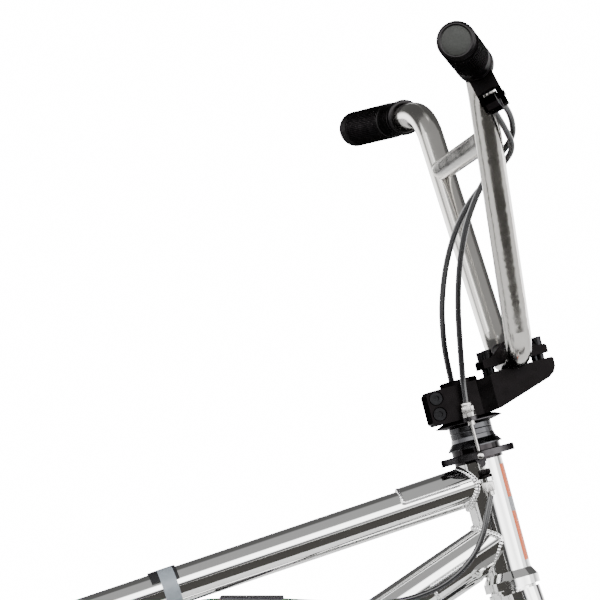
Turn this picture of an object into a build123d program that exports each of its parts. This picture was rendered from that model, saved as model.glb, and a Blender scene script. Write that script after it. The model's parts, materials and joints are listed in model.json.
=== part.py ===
from build123d import *
import os
from math import asin, ceil, cos, degrees, pi, radians, sin, sqrt, tan

# BMX freestyle bike, 20 inch wheels, with a cable detangler so the bars turn all the way round.
# Millimetres. X forward, Y to the rider's left, Z up. The origin is on the ground, halfway
# between the axles. The drive side is -Y. The cranks lie level with the right arm forward.

# ---- driving dimensions -------------------------------------------------------------------
TYRE_RADIUS = 250.0
TYRE_SECTION = 24.0
RIM_RADIUS = 209.5
RIM_HALF_WIDTH = 16.0
BEAD_SEAT = 203.0
RIM_BED = 192.0
SPOKES = 36
SPOKE_RADIUS = 0.95

CHAIN_PITCH = 12.7
CHAIN_LINKS = 84
SPROCKET_TEETH = 36
FREEWHEEL_TEETH = 13
ROLLER_RADIUS = 3.88
CHAIN_LINE = 44.0
TOOTH_THICKNESS = 2.9

BB_HEIGHT = 292.0
FRONT_CENTRE = 558.2
HEAD_ANGLE = 75.0
HEAD_TUBE_LENGTH = 95.0
HEAD_TUBE_RADIUS = 19.05
HEAD_BORE = 17.0
FORK_DROP = 328.0
FORK_OFFSET = 32.0
STEERER_RADIUS = 14.3
TOP_TUBE_RADIUS = 15.9
TOP_TUBE_UP_HEAD = 76.9
DOWN_TUBE_RADIUS = 19.05
DOWN_TUBE_UP_HEAD = 28.65
SEAT_ANGLE = 71.0
SEAT_TUBE_RADIUS = 14.3
SEAT_TUBE_LENGTH = 226.0
SEAT_TUBE_JOIN = 188.2
SEAT_POST_RADIUS = 12.7
BB_SHELL_RADIUS = 24.2
BB_SHELL_BORE = 20.6
BB_HALF_WIDTH = 36.5
SPINDLE_RADIUS = 11.0
STAY_RADIUS = 9.0
SEAT_STAY_RADIUS = 8.0
FRONT_HUB_HALF = 50.0
REAR_HUB_HALF = 55.0
FRONT_AXLE_RADIUS = 4.76
REAR_AXLE_RADIUS = 7.0

STEM_BASE = 132.0
STEM_HEIGHT = 29.0
STEM_HALF_WIDTH = 25.0
BAR_RADIUS = 11.1
BAR_WALL = 2.0
BAR_CLAMP_FORWARD = 48.6
BAR_CLAMP_UP = 40.0
BAR_LEAN = 13.0
BAR_RISE = 228.0
BAR_FOOT = 58.0
BAR_SHOULDER = 185.0
BAR_HALF_WIDTH = 367.0
BAR_BACKSWEEP = 12.55
BAR_UPSWEEP = 0.7
CROSSBAR_RISE = 174.0
CROSSBAR_RADIUS = 9.5
GRIP_RADIUS = 15.75
GRIP_LENGTH = 138.0

CRANK_LENGTH = 175.0
CABLE_RADIUS = 2.5
WIRE_RADIUS = 1.0
WIRE_BORE = 1.4
WIRE_SIDE = 29.0
RUNNING_GAP = 0.05
SEAT_POST_OUT = 106.0

# ---- chain line and wheelbase -------------------------------------------------------------
SPROCKET_PITCH = CHAIN_PITCH / (2 * sin(pi / SPROCKET_TEETH))
FREEWHEEL_PITCH = CHAIN_PITCH / (2 * sin(pi / FREEWHEEL_TEETH))


def chain_links(centres):
    """Number of pitches a chain needs round both sprockets at this centre distance."""
    tilt = asin((SPROCKET_PITCH - FREEWHEEL_PITCH) / centres)
    front = (pi + 2 * tilt) / (2 * pi / SPROCKET_TEETH)
    rear = (pi - 2 * tilt) / (2 * pi / FREEWHEEL_TEETH)
    return front + rear + 2 * centres * cos(tilt) / CHAIN_PITCH


def chainstay_length():
    """Centre distance at which the chain closes with a whole number of links."""
    low, high = 300.0, 450.0
    for _ in range(50):
        middle = (low + high) / 2
        if chain_links(middle) < CHAIN_LINKS:
            low = middle
        else:
            high = middle
    return (low + high) / 2


CHAINSTAY = chainstay_length()
REAR_CENTRE = sqrt(CHAINSTAY**2 - (BB_HEIGHT - TYRE_RADIUS) ** 2)
WHEELBASE = FRONT_CENTRE + REAR_CENTRE
FRONT_AXLE = Vector(WHEELBASE / 2, 0, TYRE_RADIUS)
REAR_AXLE = Vector(-WHEELBASE / 2, 0, TYRE_RADIUS)
BB = REAR_AXLE + Vector(REAR_CENTRE, 0, BB_HEIGHT - TYRE_RADIUS)

# ---- directions ---------------------------------------------------------------------------
LEFT = Vector(0, 1, 0)
HEAD_UP = Vector(-cos(radians(HEAD_ANGLE)), 0, sin(radians(HEAD_ANGLE)))
HEAD_FORWARD = Vector(HEAD_UP.Z, 0, -HEAD_UP.X)
HEAD_FOOT = FRONT_AXLE - HEAD_FORWARD * FORK_OFFSET + HEAD_UP * FORK_DROP
SEAT_UP = Vector(-cos(radians(SEAT_ANGLE)), 0, sin(radians(SEAT_ANGLE)))
SEAT_TOP = BB + SEAT_UP * SEAT_TUBE_LENGTH
STAY_TOP = BB + SEAT_UP * 180.0
STAY_AXIS = (STAY_TOP - REAR_AXLE).normalized()
STAY_LENGTH = (STAY_TOP - REAR_AXLE).length
STEER = Plane(origin=HEAD_FOOT, x_dir=HEAD_FORWARD, z_dir=HEAD_UP)
BRAKE = Plane(
    origin=REAR_AXLE, x_dir=STAY_AXIS, z_dir=Vector(-STAY_AXIS.Z, 0, STAY_AXIS.X)
)
FRONT_WHEEL = Plane(origin=FRONT_AXLE, x_dir=(1, 0, 0), z_dir=LEFT)
REAR_WHEEL = Plane(origin=REAR_AXLE, x_dir=(1, 0, 0), z_dir=LEFT)
CRANK = Plane(origin=BB, x_dir=(1, 0, 0), z_dir=LEFT)
SITTING = (Align.CENTER, Align.CENTER, Align.MIN)
SIDES = (1, -1)


def head(forward, up, left=0.0):
    """Point given along and across the steering axis, from the foot of the head tube."""
    return HEAD_FOOT + HEAD_FORWARD * forward + HEAD_UP * up + LEFT * left


def rear_brake(along, left, out=0.0):
    """Point given along the seat stays from the rear axle, sideways, and out of their plane."""
    return BRAKE.from_local_coords(Vector(along, left, out))


# ---- small shape helpers ------------------------------------------------------------------
def rod(start, end, radius, end_radius=None):
    """Round bar, or a taper, from one point to another."""
    run = Vector(end) - Vector(start)
    place = Plane(origin=Vector(start), z_dir=run)
    if end_radius is None:
        return place * Cylinder(radius, run.length, align=SITTING)
    return place * Cone(radius, end_radius, run.length, align=SITTING)


def pipe(start, end, outer, inner):
    """Straight tube from one point to another."""
    return rod(start, end, outer) - rod(start, end, inner)


def washer(low, high, outer, inner, centre=(0, 0)):
    """Ring standing on the local XY plane between two heights."""
    x, y = centre
    return pipe((x, y, low), (x, y, high), outer, inner)


def turned(points):
    """Solid turned about the local Z axis from (radius, height) points."""
    outline = Polyline(*[(radius, 0, height) for radius, height in points], close=True)
    return revolve(make_face(outline), Axis.Z)


def plate(points, low, high):
    """Flat plate from an outline in the local XY plane."""
    outline = Polyline(*[(x, y, low) for x, y in points], close=True)
    return extrude(make_face(outline), amount=high - low, dir=(0, 0, 1))


def side_plate(points, half_width):
    """Plate from an outline in the local XZ plane, as wide on both sides of it."""
    outline = Polyline(*[(x, -half_width, z) for x, z in points], close=True)
    return extrude(make_face(outline), amount=2 * half_width, dir=(0, 1, 0))


def route(points, share=0.45):
    """Straight runs joined by arcs, each as large as its two runs allow, and their radii."""
    points = [Vector(p) for p in points]
    radii = []
    for before, corner, after in zip(points, points[1:], points[2:]):
        turn = radians((corner - before).get_angle(after - corner))
        shorter = min((corner - before).length, (after - corner).length)
        radii.append(share * shorter / tan(turn / 2))
    return FilletPolyline(*points, radius=radii), radii


def swept(path, radius, inner=None):
    """Round bar or tube along a path of lines and arcs."""
    place = Plane(origin=path @ 0, z_dir=path % 0)
    bar = sweep(place * Circle(radius), path=path)
    if inner is None:
        return bar
    return bar - sweep(place * Circle(inner), path=path)


def cable(name, points, radius=CABLE_RADIUS):
    """Cable housing along a route. Its radii and its volume are printed."""
    path, radii = route(points)
    solid = swept(path, radius)
    wanted = pi * radius**2 * path.length
    worst = min(radii)
    print(f"{name}: length {path.length:.1f}, least radius {worst:.1f}, ", end="")
    print(f"volume {solid.volume / wanted:.4f} of section times length")
    return solid


def hexagon(low, high, across_flats, bore, centre=(0, 0)):
    """Hexagon nut on the local Z axis."""
    x, y = centre
    blank = Pos(x, y, low) * extrude(
        RegularPolygon(across_flats / sqrt(3), 6), amount=high - low
    )
    return blank - rod((x, y, low), (x, y, high), bore)


def export(node, *shapes):
    """Write one node, whose solids keep their own places."""
    solids = [solid for shape in shapes for solid in shape.solids()]
    shape = solids[0] if len(solids) == 1 else Compound(solids)
    export_step(shape, f"parts/{node}.step")


# ---- main frame ---------------------------------------------------------------------------
TOP_TUBE_FRONT = head(0, TOP_TUBE_UP_HEAD)
TOP_TUBE_REAR = BB + SEAT_UP * SEAT_TUBE_JOIN
TOP_TUBE_AXIS = (TOP_TUBE_REAR - TOP_TUBE_FRONT).normalized()
DOWN_TUBE_FRONT = head(0, DOWN_TUBE_UP_HEAD)
DOWN_TUBE_AXIS = (BB - DOWN_TUBE_FRONT).normalized()


def head_blank():
    return rod(head(0, 0), head(0, HEAD_TUBE_LENGTH), HEAD_TUBE_RADIUS)


def seat_blank():
    return rod(BB, SEAT_TOP, SEAT_TUBE_RADIUS)


def shell_blank():
    return rod(BB - LEFT * BB_HALF_WIDTH, BB + LEFT * BB_HALF_WIDTH, BB_SHELL_RADIUS)


TAB_UP = 78.5
TAB_FORWARD = -2.0


def head_tube():
    """Head tube with a cable tab welded on each side."""
    tube = Cylinder(HEAD_TUBE_RADIUS, HEAD_TUBE_LENGTH, align=SITTING)
    for side in SIDES:
        end = (TAB_FORWARD, side * WIRE_SIDE)
        tab = Pos(TAB_FORWARD, side * WIRE_SIDE / 2, TAB_UP) * Box(12, WIRE_SIDE, 3)
        tube += tab + rod((*end, TAB_UP - 1.5), (*end, TAB_UP + 1.5), 6)
        tube -= rod((*end, TAB_UP - 2), (*end, TAB_UP + 2), 3)
    return STEER * (tube - Cylinder(HEAD_BORE, HEAD_TUBE_LENGTH, align=SITTING))


def top_tube():
    tube = pipe(TOP_TUBE_FRONT, TOP_TUBE_REAR, TOP_TUBE_RADIUS, TOP_TUBE_RADIUS - 1.2)
    return tube - head_blank() - seat_blank()


def down_tube():
    tube = pipe(DOWN_TUBE_FRONT, BB, DOWN_TUBE_RADIUS, DOWN_TUBE_RADIUS - 1.2)
    return tube - head_blank() - shell_blank() - seat_blank()


def seat_tube():
    tube = rod(BB, SEAT_TOP, SEAT_TUBE_RADIUS) - shell_blank()
    return tube - rod(BB, SEAT_TOP, SEAT_POST_RADIUS + RUNNING_GAP)


def bottom_bracket_shell():
    side = LEFT * BB_HALF_WIDTH
    return pipe(BB - side, BB + side, BB_SHELL_RADIUS, BB_SHELL_BORE)


DROPOUT_THICKNESS = 6.0
DROPOUT_MIDDLE = REAR_HUB_HALF + DROPOUT_THICKNESS / 2
STAY_FOOT = 24.0
SEAT_STAY_FOOT = 38.0


def dropout(side):
    """Rear dropout plate with a slot open to the rear."""
    seat = (STAY_AXIS.X * 56, STAY_AXIS.Z * 56)
    chain = (BB - REAR_AXLE).normalized()
    outline = [
        (-24, -13),
        (-14, -19),
        (chain.X * 46 + 2, chain.Z * 46 - 8),
        (chain.X * 46, chain.Z * 46 + 5),
        (36, 15),
        (seat[0] + 4, seat[1] - 6),
        (seat[0] - 4, seat[1] + 5),
        (-8, 20),
        (-24, 13),
    ]
    blank = side_plate(outline, DROPOUT_THICKNESS / 2)
    slot = Pos(-20, 0, 0) * Box(40, 20, 2 * REAR_AXLE_RADIUS + 0.4)
    slot += rod((0, -10, 0), (0, 10, 0), REAR_AXLE_RADIUS + 0.2)
    return Pos(*(REAR_AXLE + LEFT * side * DROPOUT_MIDDLE)) * (blank - slot)


def chain_stay(side):
    front = BB + LEFT * side * 25.0
    rear = REAR_AXLE + LEFT * side * DROPOUT_MIDDLE
    run = (front - rear).normalized()
    tube = pipe(front, rear + run * STAY_FOOT, STAY_RADIUS, STAY_RADIUS - 1.2)
    return tube - shell_blank() - dropout(side)


SEAT_STAY_SPREAD = 21.0
STAY_BEND = 112.0
BRAKE_PIVOT = 176.0


def stay_side(along):
    """Sideways place of a seat stay's centre line, which bends in ahead of the chain."""
    share = max(0.0, along - STAY_BEND) / (STAY_LENGTH - STAY_BEND)
    return DROPOUT_MIDDLE + (SEAT_STAY_SPREAD - DROPOUT_MIDDLE) * share


def stay_bar(side, low, high, radius):
    """Round bar along the bent line of one seat stay."""
    alongs = (low, STAY_BEND, high)
    points = [rear_brake(along, side * stay_side(along)) for along in alongs]
    return swept(FilletPolyline(*points, radius=150), radius)


def brake_post(side):
    """Pivot boss of the rear brake, welded to the seat stay."""
    place = BRAKE_PIVOT, side * stay_side(BRAKE_PIVOT)
    return rod((*place, 0), (*place, 11), 7) + rod((*place, 11), (*place, 24), 4)


def seat_stay(side):
    """Bent stay with the brake's pivot boss on it."""
    tube = stay_bar(side, SEAT_STAY_FOOT, STAY_LENGTH, SEAT_STAY_RADIUS)
    tube += BRAKE * brake_post(side)
    tube -= stay_bar(side, SEAT_STAY_FOOT + 1, STAY_LENGTH - 6, SEAT_STAY_RADIUS - 1.2)
    tube -= rod(TOP_TUBE_FRONT, TOP_TUBE_REAR, TOP_TUBE_RADIUS)
    return tube - seat_blank() - dropout(side)


def stay_bridge():
    """Cross tube between the seat stays, ahead of the tyre."""
    along = 318.0
    side = stay_side(along)
    tube = rod(rear_brake(along, -side), rear_brake(along, side), 5)
    for end in SIDES:
        tube -= stay_bar(end, SEAT_STAY_FOOT, STAY_LENGTH, SEAT_STAY_RADIUS)
    return tube


GUSSET_WALL = 2.2
GUSSET_START = 5.0
GUSSET_END = 72.0


def half_sleeve(start, axis, tube, facing, lift):
    """Gusset plate wrapped over the part of a tube that faces one way, at its head end."""
    low, high = start + axis * GUSSET_START, start + axis * GUSSET_END
    sleeve = pipe(low, high, tube + GUSSET_WALL, tube)
    block = Plane(origin=(low + high) / 2 + facing * lift, x_dir=axis, z_dir=facing)
    return sleeve & (block * Box(2 * GUSSET_END, 90, 40, align=SITTING))


def frame_gussets():
    """Reinforcing plates over the top tube and under the down tube at the head."""
    over = Vector(TOP_TUBE_AXIS.Z, 0, -TOP_TUBE_AXIS.X)
    under = Vector(-DOWN_TUBE_AXIS.Z, 0, DOWN_TUBE_AXIS.X)
    upper = half_sleeve(TOP_TUBE_FRONT, TOP_TUBE_AXIS, TOP_TUBE_RADIUS, over, 5)
    lower = half_sleeve(DOWN_TUBE_FRONT, DOWN_TUBE_AXIS, DOWN_TUBE_RADIUS, under, 0)
    high_cup = rod(head(0, HEAD_TUBE_LENGTH), head(0, HEAD_TUBE_LENGTH + 14), 21)
    low_cup = rod(head(0, -15), head(0, 0), 23.7)
    return upper - head_blank() - high_cup, lower - head_blank() - low_cup


def headset_cups():
    """Upper and lower cups, each with a skirt pressed into the head tube."""
    top = HEAD_TUBE_LENGTH
    upper = [(15.2, top - 12), (17, top - 12), (17, top), (20.5, top), (20.5, top + 14)]
    upper += [(18.5, top + 14), (18.5, top + 5), (15.2, top + 5)]
    lower = [(15.2, 12), (17, 12), (17, 0), (19.2, 0), (22.9, -6.4), (23.35, -7.0)]
    lower += [(23.35, -14.2), (18.5, -14.2), (18.5, -5), (15.2, -5)]
    return STEER * turned(upper), STEER * turned(lower)


def headset_bearings():
    inner = STEERER_RADIUS + RUNNING_GAP
    top = HEAD_TUBE_LENGTH
    upper = washer(top + 5, top + 12.5, 18.5, inner)
    lower = washer(-13, -5, 18.5, inner)
    return STEER * upper, STEER * lower


def bottom_bracket_bearings():
    rings = []
    for side in SIDES:
        start, end = side * (BB_HALF_WIDTH - 8), side * BB_HALF_WIDTH
        ring = washer(
            min(start, end),
            max(start, end),
            BB_SHELL_BORE,
            SPINDLE_RADIUS + RUNNING_GAP,
        )
        rings.append(CRANK * ring)
    return rings


def seat_clamp():
    """Split collar round the top of the seat tube, with its pinch bolt behind."""
    low, high = SEAT_TUBE_LENGTH - 14, SEAT_TUBE_LENGTH
    place = Plane(origin=BB, x_dir=(SEAT_UP.Z, 0, -SEAT_UP.X), z_dir=SEAT_UP)
    ring = rod((0, 0, low), (0, 0, high), 18)
    ring += Pos(-21, 0, (low + high) / 2) * Box(14, 18, high - low)
    ring -= rod((0, 0, low), (0, 0, high), SEAT_TUBE_RADIUS)
    ring -= Pos(-22, 0, (low + high) / 2) * Box(20, 2, high - low)
    ring -= rod((-23, -9, low + 7), (-23, 9, low + 7), 2.5)
    bolt = rod((-23, -12, low + 7), (-23, 11, low + 7), 2.5)
    bolt += rod((-23, 9, low + 7), (-23, 13, low + 7), 4)
    bolt += rod((-23, -13, low + 7), (-23, -9, low + 7), 4)
    return place * ring, place * bolt


CLIP_ALONG = 271.0
CLIP_WIDTH = 13.0
CABLE_UNDER = TOP_TUBE_RADIUS + CABLE_RADIUS + 0.6


def under_top_tube(along, left=0.0, drop=CABLE_UNDER):
    """Point under the top tube, at a distance along it from the head tube's axis."""
    across = Vector(-TOP_TUBE_AXIS.Z, 0, TOP_TUBE_AXIS.X)
    return TOP_TUBE_FRONT + TOP_TUBE_AXIS * along + across * drop + LEFT * left


def top_tube_strap():
    """Band round the top tube that carries the rear brake cable, with its shim."""
    start = TOP_TUBE_FRONT + TOP_TUBE_AXIS * CLIP_ALONG
    end = start + TOP_TUBE_AXIS * CLIP_WIDTH
    band = pipe(start, end, TOP_TUBE_RADIUS + 1.6, TOP_TUBE_RADIUS)
    low = under_top_tube(CLIP_ALONG)
    high = under_top_tube(CLIP_ALONG + CLIP_WIDTH)
    band += rod(low, high, CABLE_RADIUS + 2.4)
    band -= rod(start, end, TOP_TUBE_RADIUS)
    return band - rod(low, high, CABLE_RADIUS)


# ---- cables on the frame ------------------------------------------------------------------
BARREL_FOOT = 65.0
SPLITTER_FRONT = 188.7
SPLITTER_REAR = 241.8
SPLITTER_DROP = 25.0


def from_head(back, left, up):
    """Point behind and above the foot of the head tube, in level measures."""
    return HEAD_FOOT + Vector(-back, left, up)


def lower_cable(side):
    """From one head tube tab, past the side of the down tube, to the splitter."""
    points = [
        head(TAB_FORWARD, BARREL_FOOT, side * WIRE_SIDE),
        from_head(21.5, side * 29.6, 49.0),
        from_head(24.5, side * 29.8, 32.0),
        from_head(31.0, side * 29.0, 15.0),
        from_head(43.0, side * 27.4, -0.5),
        from_head(60.0, side * 25.2, -13.5),
        from_head(82.0, side * 23.4, -22.5),
        from_head(107.0, side * 19.6, -27.5),
        from_head(134.0, side * 12.5, -28.2),
        from_head(162.0, side * 5.6, -26.4),
        from_head(SPLITTER_FRONT, side * 3.2, -SPLITTER_DROP),
    ]
    return cable("lower cable", points)


HOUSING_JOIN = Vector(-163.0, 35.0, 452.0)


def single_cable():
    """From the splitter, under the top tube, to the left side of the seat tube."""
    points = [
        from_head(SPLITTER_REAR, 0, -SPLITTER_DROP),
        under_top_tube(CLIP_ALONG - 14, -0.2),
        under_top_tube(CLIP_ALONG + CLIP_WIDTH + 14, 0.2, CABLE_UNDER + 0.1),
        under_top_tube(340, 1.8, CABLE_UNDER + 1.2),
        under_top_tube(392, 2.6, CABLE_UNDER + 0.5),
        under_top_tube(430, 9.0, CABLE_UNDER + 0.8),
        under_top_tube(468, 23.5, CABLE_UNDER + 0.5),
        HOUSING_JOIN,
    ]
    return cable("single cable", points)


NOODLE_ALONG = 283.0
NOODLE_OUT = 16.0
NOODLE_SIDE = 74.0
NOODLE_END = rear_brake(NOODLE_ALONG + 30, NOODLE_SIDE, NOODLE_OUT)


def rear_brake_housing():
    """Last stretch of housing, which flexes as the brake arm swings in."""
    points = [
        HOUSING_JOIN,
        rear_brake(351, 46, 7),
        rear_brake(338, 63, 13),
        rear_brake(326, 73.6, NOODLE_OUT),
        rear_brake(NOODLE_ALONG + 30.5, NOODLE_SIDE, NOODLE_OUT),
    ]
    return cable("rear brake housing", points)


def cable_splitter():
    """Moulded junction where two cables become one."""
    start = from_head(SPLITTER_FRONT, 0, -SPLITTER_DROP)
    length = SPLITTER_REAR - SPLITTER_FRONT
    place = Plane(origin=start, x_dir=(0, 1, 0), z_dir=(-1, 0, 0))
    body = extrude(Ellipse(7.4, 5.0), amount=length)
    return place * fillet(body.edges().sort_by(Axis.Z)[-1], 3.0)


def lower_cable_barrels():
    """Locknut above each tab and barrel adjuster below it."""
    pieces = []
    for side in SIDES:
        centre = (TAB_FORWARD, side * WIRE_SIDE)
        nut = hexagon(TAB_UP + 1.5, TAB_UP + 9.5, 9.5, 3, centre)
        barrel = rod((*centre, BARREL_FOOT), (*centre, TAB_UP - 1.5), 5)
        barrel += rod((*centre, TAB_UP - 1.5), (*centre, TAB_UP + 9.5), 3)
        barrel -= rod((*centre, BARREL_FOOT), (*centre, TAB_UP + 9.5), WIRE_BORE)
        pieces += [STEER * nut, STEER * barrel]
    return pieces


# ---- fork, headset top and detangler ------------------------------------------------------
def fork_steerer():
    """Steerer tube with the fork crown at its foot."""
    top = STEM_BASE + STEM_HEIGHT - 1
    steerer = rod((0, 0, -46), (0, 0, top), STEERER_RADIUS)
    crown = washer(-17, -14.8, 19.5, STEERER_RADIUS - 1)
    crown += rod((0, 0, -52), (0, 0, -17), 17.5)
    crown += rod((0, -34, -34), (0, 34, -34), 13.5)
    shape = steerer + crown - rod((0, 0, -40), (0, 0, top), STEERER_RADIUS - 2.5)
    for side in SIDES:
        shape -= fork_leg_blank(side)
    return STEER * shape


LEG_TOP = (0.0, 44.0, -16.8)
LEG_FOOT = (27.0, 53.0, -302.0)


def fork_leg_blank(side):
    """Outer form of one tapered leg, in the steering frame."""
    start = (LEG_TOP[0], side * LEG_TOP[1], LEG_TOP[2])
    end = (LEG_FOOT[0], side * LEG_FOOT[1], LEG_FOOT[2])
    return rod(start, end, 15.9, 10)


def fork_leg(side):
    """Tapered leg with its dropout plate."""
    inner = side * (FRONT_HUB_HALF + 0.05)
    outer = side * (FRONT_HUB_HALF + 5.5)
    axle = (FORK_OFFSET, -FORK_DROP)
    start = (LEG_TOP[0], side * LEG_TOP[1], LEG_TOP[2] - 2)
    end = (LEG_FOOT[0], side * LEG_FOOT[1], LEG_FOOT[2] + 6)
    leg = fork_leg_blank(side) - rod(start, end, 14.3, 8.4)
    tab = rod((axle[0], inner, axle[1]), (axle[0], outer, axle[1]), 15)
    middle, half = (inner + outer) / 2, abs(outer - inner) / 2
    neck = [(16, -290), (36, -290), (45, -324), (18, -324)]
    tab += Pos(0, middle, 0) * side_plate(neck, half)
    leg += tab
    leg -= rod((axle[0], inner, axle[1]), (axle[0], outer, axle[1]), 5.0)
    leg -= Pos(axle[0], middle, axle[1] - 10) * Box(10, 8, 20)
    return STEER * leg


PLATE_TOP = STEM_BASE
PLATE_FOOT = 126.5
SPACER_FOOT = 116.9
SPACER_HEIGHT = 4.8


def headset_spacers():
    """Top cover of the headset, with a lip over the cup, and two spacers above it."""
    top = HEAD_TUBE_LENGTH
    cover = turned(
        [
            (STEERER_RADIUS, top + 15),
            (20.9, top + 15),
            (20.9, top + 12.4),
            (22.9, top + 12.4),
            (22.9, top + 13.4),
            (18.8, top + 18.6),
            (18.2, SPACER_FOOT),
            (STEERER_RADIUS, SPACER_FOOT),
        ]
    )
    low = washer(SPACER_FOOT, SPACER_FOOT + SPACER_HEIGHT, 18, STEERER_RADIUS)
    high = washer(SPACER_FOOT + SPACER_HEIGHT, PLATE_FOOT, 18, STEERER_RADIUS)
    edges = [fillet(s.edges().filter_by(GeomType.CIRCLE), 0.6) for s in (low, high)]
    return [STEER * cover] + [STEER * s for s in edges]


UPPER_WIRE_FORWARD = -2.0


def gyro_upper_plate():
    """Dished plate under the stem that holds the two upper cable ends."""
    disc = turned(
        [
            (STEERER_RADIUS, PLATE_FOOT),
            (19.5, PLATE_FOOT),
            (23.0, PLATE_FOOT + 0.7),
            (28.2, PLATE_FOOT + 1.8),
            (28.2, PLATE_FOOT + 2.5),
            (23.5, PLATE_TOP - 0.8),
            (20.5, PLATE_TOP),
            (STEERER_RADIUS, PLATE_TOP),
        ]
    )
    for side in SIDES:
        centre = (UPPER_WIRE_FORWARD, side * WIRE_SIDE)
        disc += rod((*centre, PLATE_TOP - 3), (*centre, PLATE_TOP), 6.5)
        disc -= rod((*centre, PLATE_FOOT), (*centre, PLATE_TOP + 1), 3)
    return STEER * disc


UPPER_BARREL_TOP = 144.6


def upper_cable_barrels():
    """Barrel adjusters with locknuts on the upper plate."""
    pieces = []
    for side in SIDES:
        centre = (UPPER_WIRE_FORWARD, side * WIRE_SIDE)
        nut_top = PLATE_TOP + 4.4
        nut = hexagon(PLATE_TOP, nut_top, 10.4, 3, centre)
        barrel = rod((*centre, PLATE_FOOT - 1), (*centre, nut_top), 3)
        barrel += rod((*centre, nut_top), (*centre, UPPER_BARREL_TOP), 4.8)
        barrel -= rod((*centre, PLATE_FOOT - 1), (*centre, UPPER_BARREL_TOP), WIRE_BORE)
        pieces += [STEER * nut, STEER * barrel]
    return pieces


ROTOR_TOP = 103.2
ROTOR_HEIGHT = 5.9
ROTOR_RADIUS = 31.3
ROTOR_BORE = 23.6
NIPPLE_RADIUS = 2.7
UPPER_NIPPLE = 98.8
LOWER_NIPPLE = 92.3


def gyro_upper_rotor():
    """Upper half of the detangler, skirt outside, with the nipples of the two upper wires."""
    ring = turned(
        [
            (ROTOR_BORE, ROTOR_TOP - 2.7),
            (27.6, ROTOR_TOP - 2.7),
            (27.6, ROTOR_TOP - ROTOR_HEIGHT),
            (ROTOR_RADIUS, ROTOR_TOP - ROTOR_HEIGHT),
            (ROTOR_RADIUS, ROTOR_TOP - 0.8),
            (ROTOR_RADIUS - 0.8, ROTOR_TOP),
            (ROTOR_BORE, ROTOR_TOP),
        ]
    )
    for side in SIDES:
        x, y = UPPER_WIRE_FORWARD, side * WIRE_SIDE
        ring += rod((x, y, PLATE_TOP + 2), (x, y, UPPER_NIPPLE), WIRE_RADIUS)
        ring += rod((x, side * 27.9, UPPER_NIPPLE), (x, side * 33.4, UPPER_NIPPLE), NIPPLE_RADIUS)
    return STEER * ring


def gyro_lower_rotor():
    """Lower half, inside the skirt, with a hanger on each side for a lower wire's nipple."""
    ring = washer(ROTOR_TOP - 5.8, ROTOR_TOP - 3.0, 27.3, ROTOR_BORE)
    for side in SIDES:
        x, y = TAB_FORWARD, side * WIRE_SIDE
        ring += Pos(x, side * 25.2, 95.6) * Box(8, 2.6, 4.4)
        ring += Pos(x, side * 27.6, 94.4) * Box(8, 7.4, 1.8)
        ring += rod((x, y, 95), (x, y, 67.5), WIRE_RADIUS)
        ring += rod((x, side * 26.4, LOWER_NIPPLE), (x, side * 32.6, LOWER_NIPPLE), NIPPLE_RADIUS)
    return STEER * ring


# ---- stem ---------------------------------------------------------------------------------
CLAMP_CENTRE = head(BAR_CLAMP_FORWARD, STEM_BASE + BAR_CLAMP_UP)
STEM_BOLT_REACH = 21.5
STEM_BOLT_SIDE = 17.0
JAW_TOP = 31.5
CAP_FOOT = 36.0
CAP_TOP = 43.5
BOLT_HEAD = 7.2
BOLT_HEAD_RADIUS = 4.2
PINCH_BOLTS = ((-23.9, 22.3), (-24.2, 8.9))
PINCH_HEAD_RADIUS = 5.2


def stem_bolt_places():
    reach = STEM_BOLT_REACH
    return [
        (BAR_CLAMP_FORWARD + x * reach, y * STEM_BOLT_SIDE)
        for x in SIDES
        for y in SIDES
    ]


def bar_bore():
    y = STEM_HALF_WIDTH + 1
    return rod(
        (BAR_CLAMP_FORWARD, -y, BAR_CLAMP_UP),
        (BAR_CLAMP_FORWARD, y, BAR_CLAMP_UP),
        BAR_RADIUS,
    )


def stem_body():
    """Top-load stem: a block on the steerer that runs forward to the lower jaw."""
    outline = [
        (-31.5, 3.0),
        (-28.8, 0),
        (18, 0),
        (26.4, 1.2),
        (71.5, 15.2),
        (76.5, 18.6),
        (79.0, 23.5),
        (79.3, JAW_TOP - 1.5),
        (78.0, JAW_TOP),
        (30.5, JAW_TOP),
        (25.0, 30.0),
        (16.5, STEM_HEIGHT),
        (-28.8, STEM_HEIGHT),
        (-31.5, STEM_HEIGHT - 3.0),
    ]
    block = side_plate(outline, STEM_HALF_WIDTH)
    block = chamfer(block.edges().filter_by(Axis.Y).sort_by(Axis.Z)[0], 0.5)
    for side in SIDES:
        wedge = [(-33, 19.5), (12, 19.5), (24, 25), (24, 30), (-33, 30)]
        block -= plate([(x, side * y) for x, y in wedge], -1, STEM_HEIGHT + 3)
    block -= rod((0, 0, -1), (0, 0, STEM_HEIGHT + 2), STEERER_RADIUS)
    block -= Pos(-24, 0, STEM_HEIGHT / 2) * Box(22, 2.4, STEM_HEIGHT + 4)
    block -= bar_bore()
    for x, z in PINCH_BOLTS:
        block -= rod((x, -20, z), (x, 20, z), 3)
        block -= rod((x, -20, z), (x, -15, z), PINCH_HEAD_RADIUS + 0.9)
        block -= rod((x, 15, z), (x, 20, z), PINCH_HEAD_RADIUS)
    for x, y in stem_bolt_places():
        block -= rod((x, y, 19), (x, y, JAW_TOP + 1), 3)
    return STEER * (Pos(0, 0, STEM_BASE) * block)


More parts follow.
